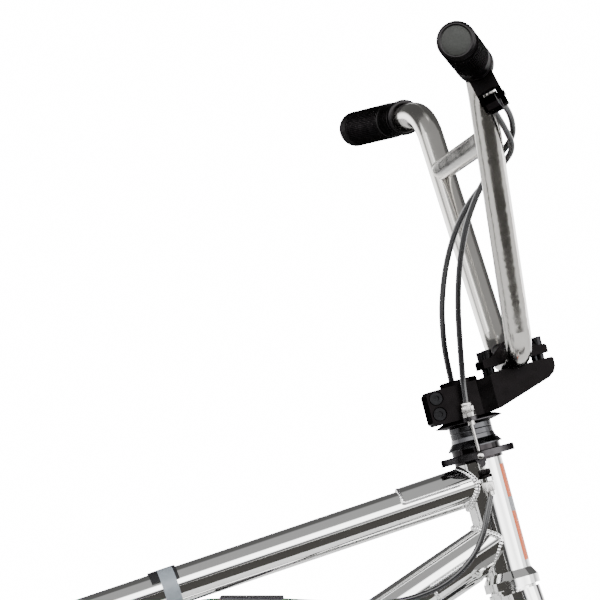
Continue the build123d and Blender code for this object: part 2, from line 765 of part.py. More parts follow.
def stem_cap():
    """Upper jaw over the bar, with an ear front and back."""
    x, z = BAR_CLAMP_FORWARD, BAR_CLAMP_UP
    outline = [
        (x - 27.8, CAP_FOOT),
        (x + 27.8, CAP_FOOT),
        (x + 27.8, CAP_TOP - 1.5),
        (x + 26.3, CAP_TOP),
        (x + 20.4, CAP_TOP),
        (x + 7.0, z + 13.6),
        (x - 7.0, z + 13.6),
        (x - 20.4, CAP_TOP),
        (x - 26.3, CAP_TOP),
        (x - 27.8, CAP_TOP - 1.5),
    ]
    cap = side_plate(outline, STEM_HALF_WIDTH) - bar_bore()
    for bolt_x, bolt_y in stem_bolt_places():
        cap -= rod((bolt_x, bolt_y, CAP_FOOT - 1), (bolt_x, bolt_y, CAP_TOP + 1), 3)
        pocket = BOLT_HEAD_RADIUS + 0.5
        cap -= rod((bolt_x, bolt_y, CAP_TOP), (bolt_x, bolt_y, CAP_TOP + 12), pocket)
    return STEER * (Pos(0, 0, STEM_BASE) * cap)


def stem_bolts():
    """Four cap bolts and two pinch bolts."""
    pieces = []
    for x, y in stem_bolt_places():
        bolt = rod((x, y, 19.5), (x, y, CAP_TOP), 3)
        head_top = CAP_TOP + BOLT_HEAD
        bolt += rod((x, y, CAP_TOP), (x, y, head_top), BOLT_HEAD_RADIUS)
        bolt -= rod((x, y, head_top - 3.5), (x, y, head_top), 2.4)
        pieces.append(bolt)
    for x, z in PINCH_BOLTS:
        bolt = rod((x, -16, z), (x, 19, z), 3)
        bolt += rod((x, -19, z), (x, -15, z), PINCH_HEAD_RADIUS)
        pieces.append(bolt - rod((x, -19, z), (x, -17, z), 2.6))
    return [STEER * (Pos(0, 0, STEM_BASE) * bolt) for bolt in pieces]


def stem_top_cap():
    """Headset cap and its bolt, which goes down into the steerer."""
    low = STEM_BASE + STEM_HEIGHT
    cap = turned([(0, low), (16, low), (16, low + 2.6), (14.6, low + 4), (0, low + 4)])
    cap -= rod((0, 0, low + 1.8), (0, 0, low + 5), 4.5)
    bolt = rod((0, 0, low + 1.8), (0, 0, low + 3.8), 4.4)
    return STEER * cap, STEER * bolt


# ---- handlebar ----------------------------------------------------------------------------
def bar_point(left, rise):
    """Point in the handlebar's own leaning plane."""
    lean = radians(BAR_LEAN)
    return CLAMP_CENTRE + Vector(-sin(lean) * rise, left, cos(lean) * rise)


def grip_axis(side):
    """Direction of one hand section, outward."""
    sweep_back, sweep_up = radians(BAR_BACKSWEEP), radians(BAR_UPSWEEP)
    return Vector(-tan(sweep_back), side, tan(sweep_up)).normalized()


def grip_point(side, left):
    """Point on the hand section's centre line at a distance from the middle plane."""
    along = (left - BAR_SHOULDER) / cos(radians(BAR_BACKSWEEP))
    return bar_point(side * BAR_SHOULDER, BAR_RISE) + grip_axis(side) * along


def bar_path():
    points = [grip_point(-1, BAR_HALF_WIDTH), bar_point(-BAR_SHOULDER, BAR_RISE)]
    points += [bar_point(-BAR_FOOT, 0), bar_point(BAR_FOOT, 0)]
    points += [bar_point(BAR_SHOULDER, BAR_RISE), grip_point(1, BAR_HALF_WIDTH)]
    return FilletPolyline(*points, radius=[48, 42, 42, 48])


def handlebar():
    """Bent tube with a welded crossbar."""
    reach = BAR_FOOT + (BAR_SHOULDER - BAR_FOOT) * CROSSBAR_RISE / BAR_RISE
    left, right = (bar_point(side * reach, CROSSBAR_RISE) for side in SIDES)
    path = bar_path()
    place = Plane(origin=path @ 0, z_dir=path % 0)
    outside = sweep(place * Circle(BAR_RADIUS), path=path)
    inside = sweep(place * Circle(BAR_RADIUS - BAR_WALL), path=path)
    inset = (right - left).normalized() * 14
    cross = rod(left, right, CROSSBAR_RADIUS)
    hollow = rod(left + inset, right - inset, CROSSBAR_RADIUS - 1.5)
    return outside + cross - inside - hollow


def grips():
    """Rubber sleeves on the two hand sections."""
    sleeves = []
    for side in SIDES:
        end = grip_point(side, BAR_HALF_WIDTH)
        start = end - grip_axis(side) * GRIP_LENGTH
        sleeves.append(pipe(start, end, GRIP_RADIUS, BAR_RADIUS))
    return sleeves


def bar_end_plugs():
    plugs = []
    for side in SIDES:
        axis, end = grip_axis(side), grip_point(side, BAR_HALF_WIDTH)
        stem = rod(end - axis * 22, end, BAR_RADIUS - BAR_WALL)
        plugs.append(stem + rod(end, end + axis * 2.2, 14.2))
    return plugs


# ---- brake lever and upper cables ---------------------------------------------------------
LEVER_LEFT = -221.5
LEVER_DROP = 62.0
PIVOT_REACH = 31.0
PIVOT_SHIFT = 7.0


def lever_plane():
    """Local X runs out of the bar, down and forward, local Y runs outward along the grip."""
    drop = radians(LEVER_DROP)
    out = Vector(cos(drop), 0, -sin(drop))
    along = grip_axis(-1)
    out = (out - along * out.dot(along)).normalized()
    return Plane(
        origin=grip_point(-1, -LEVER_LEFT), x_dir=out, z_dir=out.cross(along)
    )


LEVER = lever_plane()


def lever_perch():
    """Clamp round the bar with the arm that carries the lever's pivot."""
    clamp = rod((0, -7, 0), (0, 7, 0), 15.6)
    clamp += Pos(15, 0, 0) * Box(16, 14, 20)
    clamp += Pos(-15.6, 0, 0) * Box(9, 14, 12)
    arm = plate([(20, -7), (40, -16), (40, -2), (26, 7), (20, 7)], -10, 10)
    arm -= Pos(PIVOT_REACH + 5.2, -PIVOT_SHIFT + 0.5, 0) * Box(22, 29, 11)
    shape = clamp + arm
    shape -= rod((0, -8, 0), (0, 8, 0), BAR_RADIUS)
    shape -= Pos(-20, 0, 0) * Box(20, 16, 1.6)
    shape -= rod((-16, 0, -8), (-16, 0, 8), 2.6)
    screw = rod((-16, 0, -9), (-16, 0, 9), 2.6)
    pin_low, pin_high = (PIVOT_REACH, -PIVOT_SHIFT, -11), (PIVOT_REACH, -PIVOT_SHIFT, 11)
    shape -= rod(pin_low, pin_high, 2.5)
    pin = rod(pin_low, pin_high, 2.5)
    return [LEVER * shape, LEVER * screw, LEVER * pin]


def brake_lever():
    """Two-finger blade that turns on the perch's pin."""
    x, y = PIVOT_REACH, -PIVOT_SHIFT
    outline = [
        (x - 5, y - 5),
        (x + 6, y - 7),
        (x + 12, y + 4),
        (x + 15, y + 22),
        (x + 18, y + 50),
        (x + 16, y + 78),
        (x + 20, y + 90),
        (x + 16, y + 95),
        (x + 9, y + 88),
        (x + 9, y + 76),
        (x + 10, y + 50),
        (x + 6, y + 24),
        (x + 1, y + 12),
        (x - 2.5, y + 7),
    ]
    blade = plate(outline, -5, 5)
    return LEVER * (blade - rod((x, y, -6), (x, y, 6), 2.5 + RUNNING_GAP))


def upper_cable(side):
    """From the lever perch, behind the crossbar, down to one barrel on the upper plate."""
    start = LEVER.from_local_coords(Vector(30, -16.1, 5.0 * side))
    middle = {
        -1: [
            from_head(29.2, -190.2, 372.8),
            from_head(19.9, -170.2, 363.6),
            from_head(15.2, -149.4, 350.4),
            from_head(26.3, -128.9, 332.8),
            from_head(38.4, -107.8, 310.1),
            from_head(46.7, -86.1, 281.9),
            from_head(49.6, -65.8, 249.2),
            from_head(48.6, -49.4, 216.8),
            from_head(45.1, -37.0, 185.2),
            from_head(42.2, -29.6, 160.0),
        ],
        1: [
            from_head(37.8, -191.0, 368.2),
            from_head(26.9, -172.1, 356.9),
            from_head(14.5, -148.7, 340.7),
            from_head(23.8, -119.3, 324.7),
            from_head(41.4, -87.2, 305.7),
            from_head(52.0, -54.0, 279.1),
            from_head(56.2, -22.6, 249.0),
            from_head(55.9, 2.7, 216.9),
            from_head(51.0, 20.5, 185.3),
            from_head(44.6, 28.6, 161.0),
        ],
    }[side]
    end = head(UPPER_WIRE_FORWARD, UPPER_BARREL_TOP, side * WIRE_SIDE)
    return cable("upper cable", [start, *middle, end])


# ---- wheels -------------------------------------------------------------------------------
def front_axle():
    """Axle with cones inside the dropouts and nuts outside them."""
    axle = rod((0, 0, -76), (0, 0, 76), FRONT_AXLE_RADIUS)
    for low in (65.0, -66.0):
        axle -= washer(low, low + 1, FRONT_AXLE_RADIUS + 1, FRONT_AXLE_RADIUS - 0.5)
    pieces = [axle]
    for side in SIDES:
        low, high = sorted((side * 46.4, side * FRONT_HUB_HALF))
        pieces.append(washer(low, high, 8, FRONT_AXLE_RADIUS))
        low, high = sorted((side * 55.5, side * 57.0))
        pieces.append(washer(low, high, 9.5, FRONT_AXLE_RADIUS))
        low, high = sorted((side * 57.0, side * 65.0))
        pieces.append(hexagon(low, high, 15, FRONT_AXLE_RADIUS))
    return [FRONT_WHEEL * piece for piece in pieces]


def rear_axle():
    axle = rod((0, 0, -86), (0, 0, 86), REAR_AXLE_RADIUS)
    for low in (74.0, -75.0):
        axle -= washer(low, low + 1, REAR_AXLE_RADIUS + 1, REAR_AXLE_RADIUS - 0.5)
    pieces = [axle]
    outer = REAR_HUB_HALF + DROPOUT_THICKNESS
    for side, cone in ((1, 45.5), (-1, 50.5)):
        low, high = sorted((side * cone, side * REAR_HUB_HALF))
        pieces.append(washer(low, high, 10, REAR_AXLE_RADIUS))
        low, high = sorted((side * outer, side * (outer + 2)))
        pieces.append(washer(low, high, 13, REAR_AXLE_RADIUS))
        low, high = sorted((side * (outer + 2), side * (outer + 13)))
        pieces.append(hexagon(low, high, 22, REAR_AXLE_RADIUS))
    return [REAR_WHEEL * piece for piece in pieces]


FRONT_FLANGE = (33.0, 19.0)
REAR_FLANGE = (29.0, 27.0)


def front_hub():
    """Hub shell with a bearing in each end."""
    side, circle = FRONT_FLANGE
    shell = rod((0, 0, -46), (0, 0, 46), 13)
    for middle in (side, -side):
        shell += rod((0, 0, middle - 1.5), (0, 0, middle + 1.5), circle + 4)
    shell -= rod((0, 0, -46), (0, 0, 46), 6)
    pieces = []
    for low, high in ((38, 46), (-46, -38)):
        shell -= rod((0, 0, low), (0, 0, high), 11)
        pieces.append(washer(low, high, 11, FRONT_AXLE_RADIUS + RUNNING_GAP))
    return [FRONT_WHEEL * piece for piece in (shell, *pieces)]


FREEWHEEL_CORE = 17.0


def rear_hub():
    """Hub shell with the freewheel's inner core on the right."""
    side, circle = REAR_FLANGE
    shell = rod((0, 0, -side), (0, 0, side), 18)
    shell += rod((0, 0, -50), (0, 0, 45), FREEWHEEL_CORE)
    for middle in (side, -side):
        shell += rod((0, 0, middle - 1.5), (0, 0, middle + 1.5), circle + 4)
    shell -= rod((0, 0, -50), (0, 0, 45), 8.4)
    pieces = []
    for low, high in ((37, 45), (-50, -42)):
        shell -= rod((0, 0, low), (0, 0, high), 14)
        pieces.append(washer(low, high, 14, REAR_AXLE_RADIUS + RUNNING_GAP))
    return [REAR_WHEEL * piece for piece in (shell, *pieces)]


SPOKE_INSET = 2.7
SPOKE_CROSS = 60.0
NIPPLE_LENGTH = 12.0


def spokes(flange):
    """Three-cross lacing: on each flange every other spoke leads and the rest trail."""
    side, circle = flange
    step = 720 / SPOKES
    pieces = []
    for hand in SIDES:
        for index in range(SPOKES // 2):
            leading = 1 if index % 2 == 0 else -1
            angle = index * step + (step / 2 if hand < 0 else 0)
            away = angle + leading * SPOKE_CROSS
            z = hand * (side + leading * SPOKE_INSET)
            start = Vector(circle, 0, z).rotate(Axis.Z, angle)
            end = Vector(RIM_BED + 0.8, 0, hand * (2.5 + leading)).rotate(Axis.Z, away)
            run = (end - start).normalized()
            spoke = rod(start, end, SPOKE_RADIUS)
            spoke += rod(end - run * NIPPLE_LENGTH, end, 1.9)
            head_end = Vector(start.X, start.Y, hand * (side - leading * 1.6))
            spoke += rod(start, head_end, SPOKE_RADIUS) + Pos(*start) * Sphere(0.99)
            cap_end = Vector(start.X, start.Y, hand * (side - leading * 2.5))
            pieces.append(spoke + rod(head_end, cap_end, 1.7))
    return pieces


def rim():
    """Box-section rim with a flat outer face for the pads."""
    half = RIM_HALF_WIDTH
    outline = [
        (RIM_RADIUS, -half),
        (RIM_RADIUS, -half + 2.6),
        (BEAD_SEAT, -half + 3.4),
        (BEAD_SEAT, -9.5),
        (199, -8),
        (199, 8),
        (BEAD_SEAT, 9.5),
        (BEAD_SEAT, half - 3.4),
        (RIM_RADIUS, half - 2.6),
        (RIM_RADIUS, half),
        (196.5, half),
        (RIM_BED, 10.5),
        (RIM_BED, -10.5),
        (196.5, -half),
    ]
    hollow = [(197.4, -7), (197.4, 7), (197.0, 11), (193.8, 9.5), (193.8, -9.5), (197, -11)]
    return turned(outline) - turned(hollow)


def tyre():
    """Hollow tyre whose beads sit inside the rim's walls."""
    middle = TYRE_RADIUS - TYRE_SECTION
    shell = Torus(middle, TYRE_SECTION) - Torus(middle, TYRE_SECTION - 3.4)
    bead = RIM_HALF_WIDTH - 3.4
    shell -= washer(-9, 9, RIM_RADIUS + 3, RIM_BED)
    shell -= washer(-30, 30, BEAD_SEAT, RIM_BED)
    for side in SIDES:
        low, high = sorted((side * bead, side * 30))
        shell -= washer(low, high, RIM_RADIUS + 0.2, RIM_BED)
    return shell


# ---- drive --------------------------------------------------------------------------------
def tooth_ring(teeth, pitch_radius, phase):
    """Toothed disc whose gaps fit the chain's rollers."""
    points = []
    tip = pitch_radius + 3.3
    half_tip = CHAIN_PITCH / 2 * tip / pitch_radius - 0.9
    profile = [(-half_tip, tip), (-4.26, pitch_radius - 0.5), (-2.4, pitch_radius - 4.2)]
    profile += [(2.4, pitch_radius - 4.2), (4.26, pitch_radius - 0.5), (half_tip, tip)]
    for tooth in range(teeth):
        turn = phase + 360 * tooth / teeth
        for across, up in profile:
            points.append(Vector(up, across, 0).rotate(Axis.Z, turn))
    half = TOOTH_THICKNESS / 2
    return plate([(p.X, p.Y) for p in points], -half, half)


def local_drive(point):
    """Place in the crank's local plane, whose X is forward and Y is down."""
    return CRANK.to_local_coords(point)


def chain_layout():
    """Roller centres in the crank's local plane, in order round the loop."""
    rear = local_drive(REAR_AXLE)
    centre_line = degrees(asin(rear.Y / rear.length))
    tilt = degrees(asin((SPROCKET_PITCH - FREEWHEEL_PITCH) / CHAINSTAY))
    lean = 180 - centre_line
    wrap = 180 + 2 * tilt
    front_share = wrap / (360 / SPROCKET_TEETH)
    run = CHAINSTAY * cos(radians(tilt)) / CHAIN_PITCH
    rear_share = (180 - 2 * tilt) / (360 / FREEWHEEL_TEETH)
    first = lean + 90 - tilt
    leave = first + wrap
    points = []
    for link in range(CHAIN_LINKS):
        place = float(link)
        if place <= front_share:
            turn = first + place * 360 / SPROCKET_TEETH
            points.append(Vector(SPROCKET_PITCH, 0, 0).rotate(Axis.Z, turn))
            continue
        place -= front_share
        out = Vector(SPROCKET_PITCH, 0, 0).rotate(Axis.Z, leave)
        back = rear + Vector(FREEWHEEL_PITCH, 0, 0).rotate(Axis.Z, leave)
        if place <= run:
            points.append(out + (back - out) * (place / run))
            continue
        place -= run
        if place <= rear_share:
            turn = leave + place * 360 / FREEWHEEL_TEETH
            points.append(rear + Vector(FREEWHEEL_PITCH, 0, 0).rotate(Axis.Z, turn))
            continue
        place -= rear_share
        start = rear + Vector(FREEWHEEL_PITCH, 0, 0).rotate(Axis.Z, first)
        end = Vector(SPROCKET_PITCH, 0, 0).rotate(Axis.Z, first)
        points.append(start + (end - start) * (place / run))
    into_link = ceil(front_share + run) - front_share - run
    return points, first, leave + into_link * 360 / FREEWHEEL_TEETH


ROLLERS, SPROCKET_PHASE, FREEWHEEL_PHASE = chain_layout()


def chain():
    """Closed loop of rollers between two bands of side plates."""
    loop = Wire.make_polygon([(p.X, p.Y, 0) for p in ROLLERS], close=True)
    middle = -CHAIN_LINE
    band = make_face(loop.offset_2d(4.1)) - make_face(loop.offset_2d(-4.1))
    bands = []
    for low in (-3.6, 2.1):
        bands.append(Pos(0, 0, middle + low) * extrude(band, amount=1.5, dir=(0, 0, 1)))
    pins = [
        rod((p.X, p.Y, middle - 2.8), (p.X, p.Y, middle + 2.8), ROLLER_RADIUS)
        for p in ROLLERS
    ]
    return CRANK * bands[0].fuse(bands[1], *pins)


def sprocket():
    """Chainwheel with five windows."""
    disc = tooth_ring(SPROCKET_TEETH, SPROCKET_PITCH, SPROCKET_PHASE)
    half = TOOTH_THICKNESS / 2
    for window in range(5):
        middle = Vector(44, 0, 0).rotate(Axis.Z, 72 * window + 36)
        disc -= rod((middle.X, middle.Y, -half), (middle.X, middle.Y, half), 15.5)
        bolt = Vector(30, 0, 0).rotate(Axis.Z, 72 * window)
        disc -= rod((bolt.X, bolt.Y, -half), (bolt.X, bolt.Y, half), 4)
    boss = rod((0, 0, -4.5), (0, 0, half), 17)
    disc += boss
    disc -= rod((0, 0, -5), (0, 0, half), SPINDLE_RADIUS)
    return CRANK * (Pos(0, 0, -CHAIN_LINE) * disc)


def freewheel():
    """Outer ring of the freewheel."""
    disc = tooth_ring(FREEWHEEL_TEETH, FREEWHEEL_PITCH, FREEWHEEL_PHASE)
    disc += washer(-5.4, 7.0, 21.2, FREEWHEEL_CORE)
    disc -= rod((0, 0, -6), (0, 0, 8), FREEWHEEL_CORE + 0.08)
    return REAR_WHEEL * (Pos(0, 0, -CHAIN_LINE) * disc)


ARM_INNER = 48.6
ARM_BOSS = 61.2
ARM_TIP = 66.0
ARM_OUTER = 73.4
TIP_INNER = 56.0
TIP_OUTER = 76.0


def crank_arm(side):
    """Tubular arm: the right one points forward, the left one back."""
    ahead = -side
    tip = ahead * CRANK_LENGTH
    arm = rod((0, 0, side * ARM_BOSS), (tip, 0, side * ARM_TIP), 12, 9.2)
    arm += rod((0, 0, side * ARM_INNER), (0, 0, side * ARM_OUTER), 17)
    arm += rod((tip, 0, side * TIP_INNER), (tip, 0, side * TIP_OUTER), 13)
    arm -= rod((0, 0, side * 40), (0, 0, side * ARM_OUTER), SPINDLE_RADIUS)
    return CRANK * (arm - rod((tip, 0, side * TIP_INNER), (tip, 0, side * TIP_OUTER), 7))


def crank_spindle():
    """Spindle with a spacer each side and a bolt in each end."""
    shaft = rod((0, 0, -ARM_OUTER), (0, 0, ARM_OUTER), SPINDLE_RADIUS)
    shaft += rod((0, 0, 37), (0, 0, ARM_INNER), 14)
    shaft += rod((0, 0, -CHAIN_LINE + 1.45), (0, 0, -37), 14)
    for side in SIDES:
        end = ARM_OUTER + 3.2
        shaft += rod((0, 0, side * ARM_OUTER), (0, 0, side * end), 13)
        shaft -= rod((0, 0, side * (ARM_OUTER + 0.6)), (0, 0, side * end), 5)
    return CRANK * shaft


PEDAL_INNER = 81.0
PEDAL_WIDTH = 96.0
PEDAL_LENGTH = 100.0


def pedal_axle(side):
    tip = -side * CRANK_LENGTH
    flange = PEDAL_INNER - 1
    end = PEDAL_INNER + PEDAL_WIDTH - 3
    shaft = rod((tip, 0, side * TIP_INNER), (tip, 0, side * TIP_OUTER), 7)
    shaft += rod((tip, 0, side * TIP_OUTER), (tip, 0, side * flange), 8)
    return CRANK * (shaft + rod((tip, 0, side * flange), (tip, 0, side * end), 4.5))


def pedal(side):
    """Platform pedal with traction pins top and bottom."""
    length, width = PEDAL_LENGTH, PEDAL_WIDTH
    body = Box(length, 16, width)
    for x in (-27, 27):
        for z in (-23.5, 23.5):
            body -= Pos(x, 0, z) * Box(30, 20, 36)
    body = chamfer(body.edges().filter_by(Axis.Y).group_by(Axis.Z)[0], 6)
    body = chamfer(body.edges().filter_by(Axis.Y).group_by(Axis.Z)[-1], 6)
    body += rod((0, 0, -width / 2), (0, 0, width / 2), 9.5)
    for x in (-45.5, 45.5):
        for z in (-34, 0, 34):
            body += rod((x, -11.5, z), (x, 11.5, z), 1.8)
    body -= rod((0, 0, -width / 2), (0, 0, width / 2), 4.5 + RUNNING_GAP)
    place = Pos(-side * CRANK_LENGTH, 0, side * (PEDAL_INNER + width / 2))
    return CRANK * (place * body)


# ---- rear brake ---------------------------------------------------------------------------
ARM_LOW = 11.4
ARM_HIGH = 20.4
PAD_FACE = 18.4
PAD_OUT = 15.0
BOOT_RADIUS = 6.6


def brake_arm(side):
    """Linear-pull arm with its pad and the bolt on its pivot."""
    pivot = stay_side(BRAKE_PIVOT)
    outline = [
        (BRAKE_PIVOT - 9, pivot - 4),
        (BRAKE_PIVOT - 9, pivot + 4),
        (BRAKE_PIVOT - 4, pivot + 8),
        (BRAKE_PIVOT + 8, pivot + 8),
        (BRAKE_PIVOT + 70, pivot + 5),
        (292, pivot + 1),
        (292, pivot - 9),
        (BRAKE_PIVOT + 70, pivot - 5),
        (BRAKE_PIVOT + 8, pivot - 8),
        (BRAKE_PIVOT - 4, pivot - 8),
    ]
    arm = plate([(x, side * y) for x, y in outline], ARM_LOW, ARM_HIGH)
    arm += rod((200, side * 28.6, PAD_OUT), (200, side * 44, PAD_OUT), 3)
    place = (BRAKE_PIVOT, side * pivot)
    arm -= rod((*place, ARM_LOW), (*place, ARM_HIGH), 4 + RUNNING_GAP)
    inner, outer = side * (pivot - 12), side * (pivot + 5)
    arm -= rod((NOODLE_ALONG, inner, NOODLE_OUT), (NOODLE_ALONG, outer, NOODLE_OUT), 3)
    pad = Pos(200, side * (PAD_FACE + 5.1), PAD_OUT) * Box(8, 10.2, 44)
    return [BRAKE * arm, BRAKE * pad]


def brake_retainer(side):
    """Washer and bolt head that keep the arm on its post."""
    place = (BRAKE_PIVOT, side * stay_side(BRAKE_PIVOT))
    return BRAKE * rod((*place, 24), (*place, 27), 6.5)


def right_anchor():
    """Wire clamp in the right arm, with the right half of the crossing wire."""
    line = (NOODLE_ALONG, NOODLE_OUT)
    body = rod((line[0], -32, line[1]), (line[0], -54, line[1]), 3)
    wire = rod((line[0], -8.5, line[1]), (line[0], -32, line[1]), WIRE_RADIUS)
    return BRAKE * (body + wire)


def brake_noodle():
    """Bent guide in the left arm, its rubber boot and the left half of the wire."""
    start = Vector(NOODLE_ALONG, 27, NOODLE_OUT)
    corner = Vector(NOODLE_ALONG, NOODLE_SIDE, NOODLE_OUT)
    end = BRAKE.to_local_coords(NOODLE_END)
    path = FilletPolyline(start, corner, end, radius=22)
    guide = swept(path, 3)
    guide += rod((NOODLE_ALONG, 8.5, NOODLE_OUT), (NOODLE_ALONG, 27, NOODLE_OUT), WIRE_RADIUS)
    foot = (NOODLE_ALONG, 27, NOODLE_OUT)
    boot = pipe((NOODLE_ALONG, -12, NOODLE_OUT), foot, BOOT_RADIUS, BOOT_RADIUS - 1.0)
    boot += pipe((NOODLE_ALONG, 25, NOODLE_OUT), foot, BOOT_RADIUS, WIRE_RADIUS)
    return [BRAKE * guide, BRAKE * boot]


# ---- seat ---------------------------------------------------------------------------------
SEAT_CLAMP_POINT = SEAT_TOP + SEAT_UP * SEAT_POST_OUT


def seat_post():
    foot = SEAT_TOP - SEAT_UP * 90
    post = rod(foot, SEAT_CLAMP_POINT - SEAT_UP * 18, SEAT_POST_RADIUS)
    post -= rod(foot, SEAT_CLAMP_POINT - SEAT_UP * 26, SEAT_POST_RADIUS - 2)
    post += rod(SEAT_CLAMP_POINT - SEAT_UP * 20, SEAT_CLAMP_POINT, SEAT_POST_RADIUS, 8)
    low, high = SEAT_CLAMP_POINT - LEFT * 14, SEAT_CLAMP_POINT + LEFT * 14
    return post + rod(low, high, 9) - rod(low, high, 4 + RUNNING_GAP)


RAIL_SIDE = 22.0
RAIL_RADIUS = 3.5
SADDLE_LIFT = 40.0


def saddle_clamp():
    """Side plates that pinch the rails onto the post's head."""
    pieces = []
    for side in SIDES:
        x, z = SEAT_CLAMP_POINT.X, SEAT_CLAMP_POINT.Z
        outline = [(x - 10, z - 10), (x + 10, z - 10), (x + 18, z + 4)]
        outline += [(x + 18, z + 20), (x - 18, z + 20), (x - 18, z + 4)]
        block = Pos(0, side * RAIL_SIDE, 0) * side_plate(outline, 6.5)
        block -= rod(
            (x - 20, side * RAIL_SIDE, z + 12), (x + 20, side * RAIL_SIDE, z + 12), RAIL_RADIUS
        )
        pieces.append(block)
    bolt = rod(SEAT_CLAMP_POINT - LEFT * 34, SEAT_CLAMP_POINT + LEFT * 34, 4)
    pieces = [piece - bolt for piece in pieces]
    pieces.append(bolt)
    return pieces


def saddle_rail(side):
    x, z = SEAT_CLAMP_POINT.X, SEAT_CLAMP_POINT.Z + 12
    points = [
        (x + 100, side * 10, z + 18.5),
        (x + 70, side * 13, z + 13),
        (x + 36, side * RAIL_SIDE, z),
        (x - 40, side * RAIL_SIDE, z),
        (x - 64, side * 25, z + 8),
        (x - 80, side * 29, z + 19),
    ]
    path, _ = route(points, 0.4)
    return swept(path, RAIL_RADIUS)


def saddle():
    """Plain form of the padded saddle: long nose, wide back, flat underside."""
    x, z = SEAT_CLAMP_POINT.X, SEAT_CLAMP_POINT.Z + SADDLE_LIFT
    stations = [
        (-122, 46, 15, 4),
        (-104, 66, 21, 3),
        (-70, 74, 23, 1),
        (-25, 58, 22, 0),
        (20, 36, 20, 0),
        (66, 25, 18, 0),
        (104, 20, 16, 0),
        (122, 12, 11, -2),
    ]
    sections = [
        Plane(origin=(x + along, 0, z + lift), x_dir=(0, 1, 0), z_dir=(1, 0, 0))
        * Ellipse(half, tall)
        for along, half, tall, lift in stations
    ]
    body = loft(sections)
    under = Pos(x, 0, z - 12) * Box(300, 200, 40, align=(Align.CENTER, Align.CENTER, Align.MAX))
    return body - under - saddle_rail(1) - saddle_rail(-1)


def main():
    os.makedirs("parts", exist_ok=True)
    export("head_tube", head_tube())
    export("top_tube", top_tube())
    export("down_tube", down_tube())
    export("seat_tube", seat_tube())
    export("bottom_bracket_shell", bottom_bracket_shell())
    export("chain_stays", *[chain_stay(side) for side in SIDES])
    export("seat_stays", *[seat_stay(side) for side in SIDES], stay_bridge())
    export("rear_dropouts", *[dropout(side) for side in SIDES])
    export("frame_gussets", *frame_gussets())
    export("headset_cups", *headset_cups())
    export("headset_bearings", *headset_bearings())
    export("bottom_bracket_bearings", *bottom_bracket_bearings())
    export("seat_clamp", *seat_clamp())
    export("top_tube_strap", top_tube_strap())
    export("lower_brake_cables", *[lower_cable(side) for side in SIDES], single_cable())
    export("lower_cable_barrels", *lower_cable_barrels())
    export("cable_splitter", cable_splitter())
    export("rear_brake_housing", rear_brake_housing())
    export("rear_axle", *rear_axle())
    export("seat_post", seat_post())
    export("saddle", saddle())
    export("saddle_rails", *[saddle_rail(side) for side in SIDES])
    export("saddle_clamp", *saddle_clamp())
    export("fork_steerer", fork_steerer())
    export("fork_legs", *[fork_leg(side) for side in SIDES])
    export("headset_spacers", *headset_spacers())
    export("gyro_upper_plate", gyro_upper_plate())
    export("upper_cable_barrels", *upper_cable_barrels())
    export("gyro_upper_rotor", gyro_upper_rotor())
    export("gyro_lower_rotor", gyro_lower_rotor())
    export("stem_body", stem_body())
    export("stem_cap", stem_cap())
    export("stem_bolts", *stem_bolts())
    export("stem_top_cap", *stem_top_cap())
    export("handlebar", handlebar())
    export("grips", *grips())
    export("bar_end_plugs", *bar_end_plugs())
    export("lever_perch", *lever_perch())
    export("brake_lever", brake_lever())
    export("upper_brake_cables", *[upper_cable(side) for side in SIDES])
    export("front_axle", *front_axle())
    export("front_hub", *front_hub())
    export("rear_hub", *rear_hub())
    export("front_spokes", *[FRONT_WHEEL * spoke for spoke in spokes(FRONT_FLANGE)])
    export("rear_spokes", *[REAR_WHEEL * spoke for spoke in spokes(REAR_FLANGE)])
    export("front_rim", FRONT_WHEEL * rim())
    export("rear_rim", REAR_WHEEL * rim())
    export("front_tyre", FRONT_WHEEL * tyre())
    export("rear_tyre", REAR_WHEEL * tyre())
    export("freewheel", freewheel())
    export("chain", chain())
    export("sprocket", sprocket())
    export("crank_arms", *[crank_arm(side) for side in SIDES])
    export("crank_spindle", crank_spindle())
    export("pedal_axles", *[pedal_axle(side) for side in SIDES])
    export("left_pedal", pedal(1))
    export("right_pedal", pedal(-1))
    export("left_brake_arm", *brake_arm(1), brake_retainer(1))
    export("right_brake_arm", *brake_arm(-1), brake_retainer(-1), right_anchor())
    export("brake_noodle", *brake_noodle())


main()
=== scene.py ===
import json
import math

import bpy
import numpy as np
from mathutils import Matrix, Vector


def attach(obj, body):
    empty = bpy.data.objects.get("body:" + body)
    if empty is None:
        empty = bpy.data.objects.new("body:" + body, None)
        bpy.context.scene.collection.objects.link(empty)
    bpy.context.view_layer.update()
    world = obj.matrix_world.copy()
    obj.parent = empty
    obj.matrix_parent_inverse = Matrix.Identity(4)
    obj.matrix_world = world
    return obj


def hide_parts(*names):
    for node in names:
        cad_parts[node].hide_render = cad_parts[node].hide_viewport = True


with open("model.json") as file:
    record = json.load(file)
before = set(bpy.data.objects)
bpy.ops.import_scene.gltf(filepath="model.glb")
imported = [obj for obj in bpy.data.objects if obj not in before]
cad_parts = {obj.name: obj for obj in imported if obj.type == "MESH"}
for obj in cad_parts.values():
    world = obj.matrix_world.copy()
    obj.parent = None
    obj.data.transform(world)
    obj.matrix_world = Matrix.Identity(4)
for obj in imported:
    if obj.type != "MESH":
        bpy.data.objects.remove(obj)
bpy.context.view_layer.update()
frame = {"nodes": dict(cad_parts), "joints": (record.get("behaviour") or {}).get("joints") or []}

NODES = frame["nodes"]
JOINTS = {joint["name"]: joint for joint in frame["joints"]}
MM = 0.001

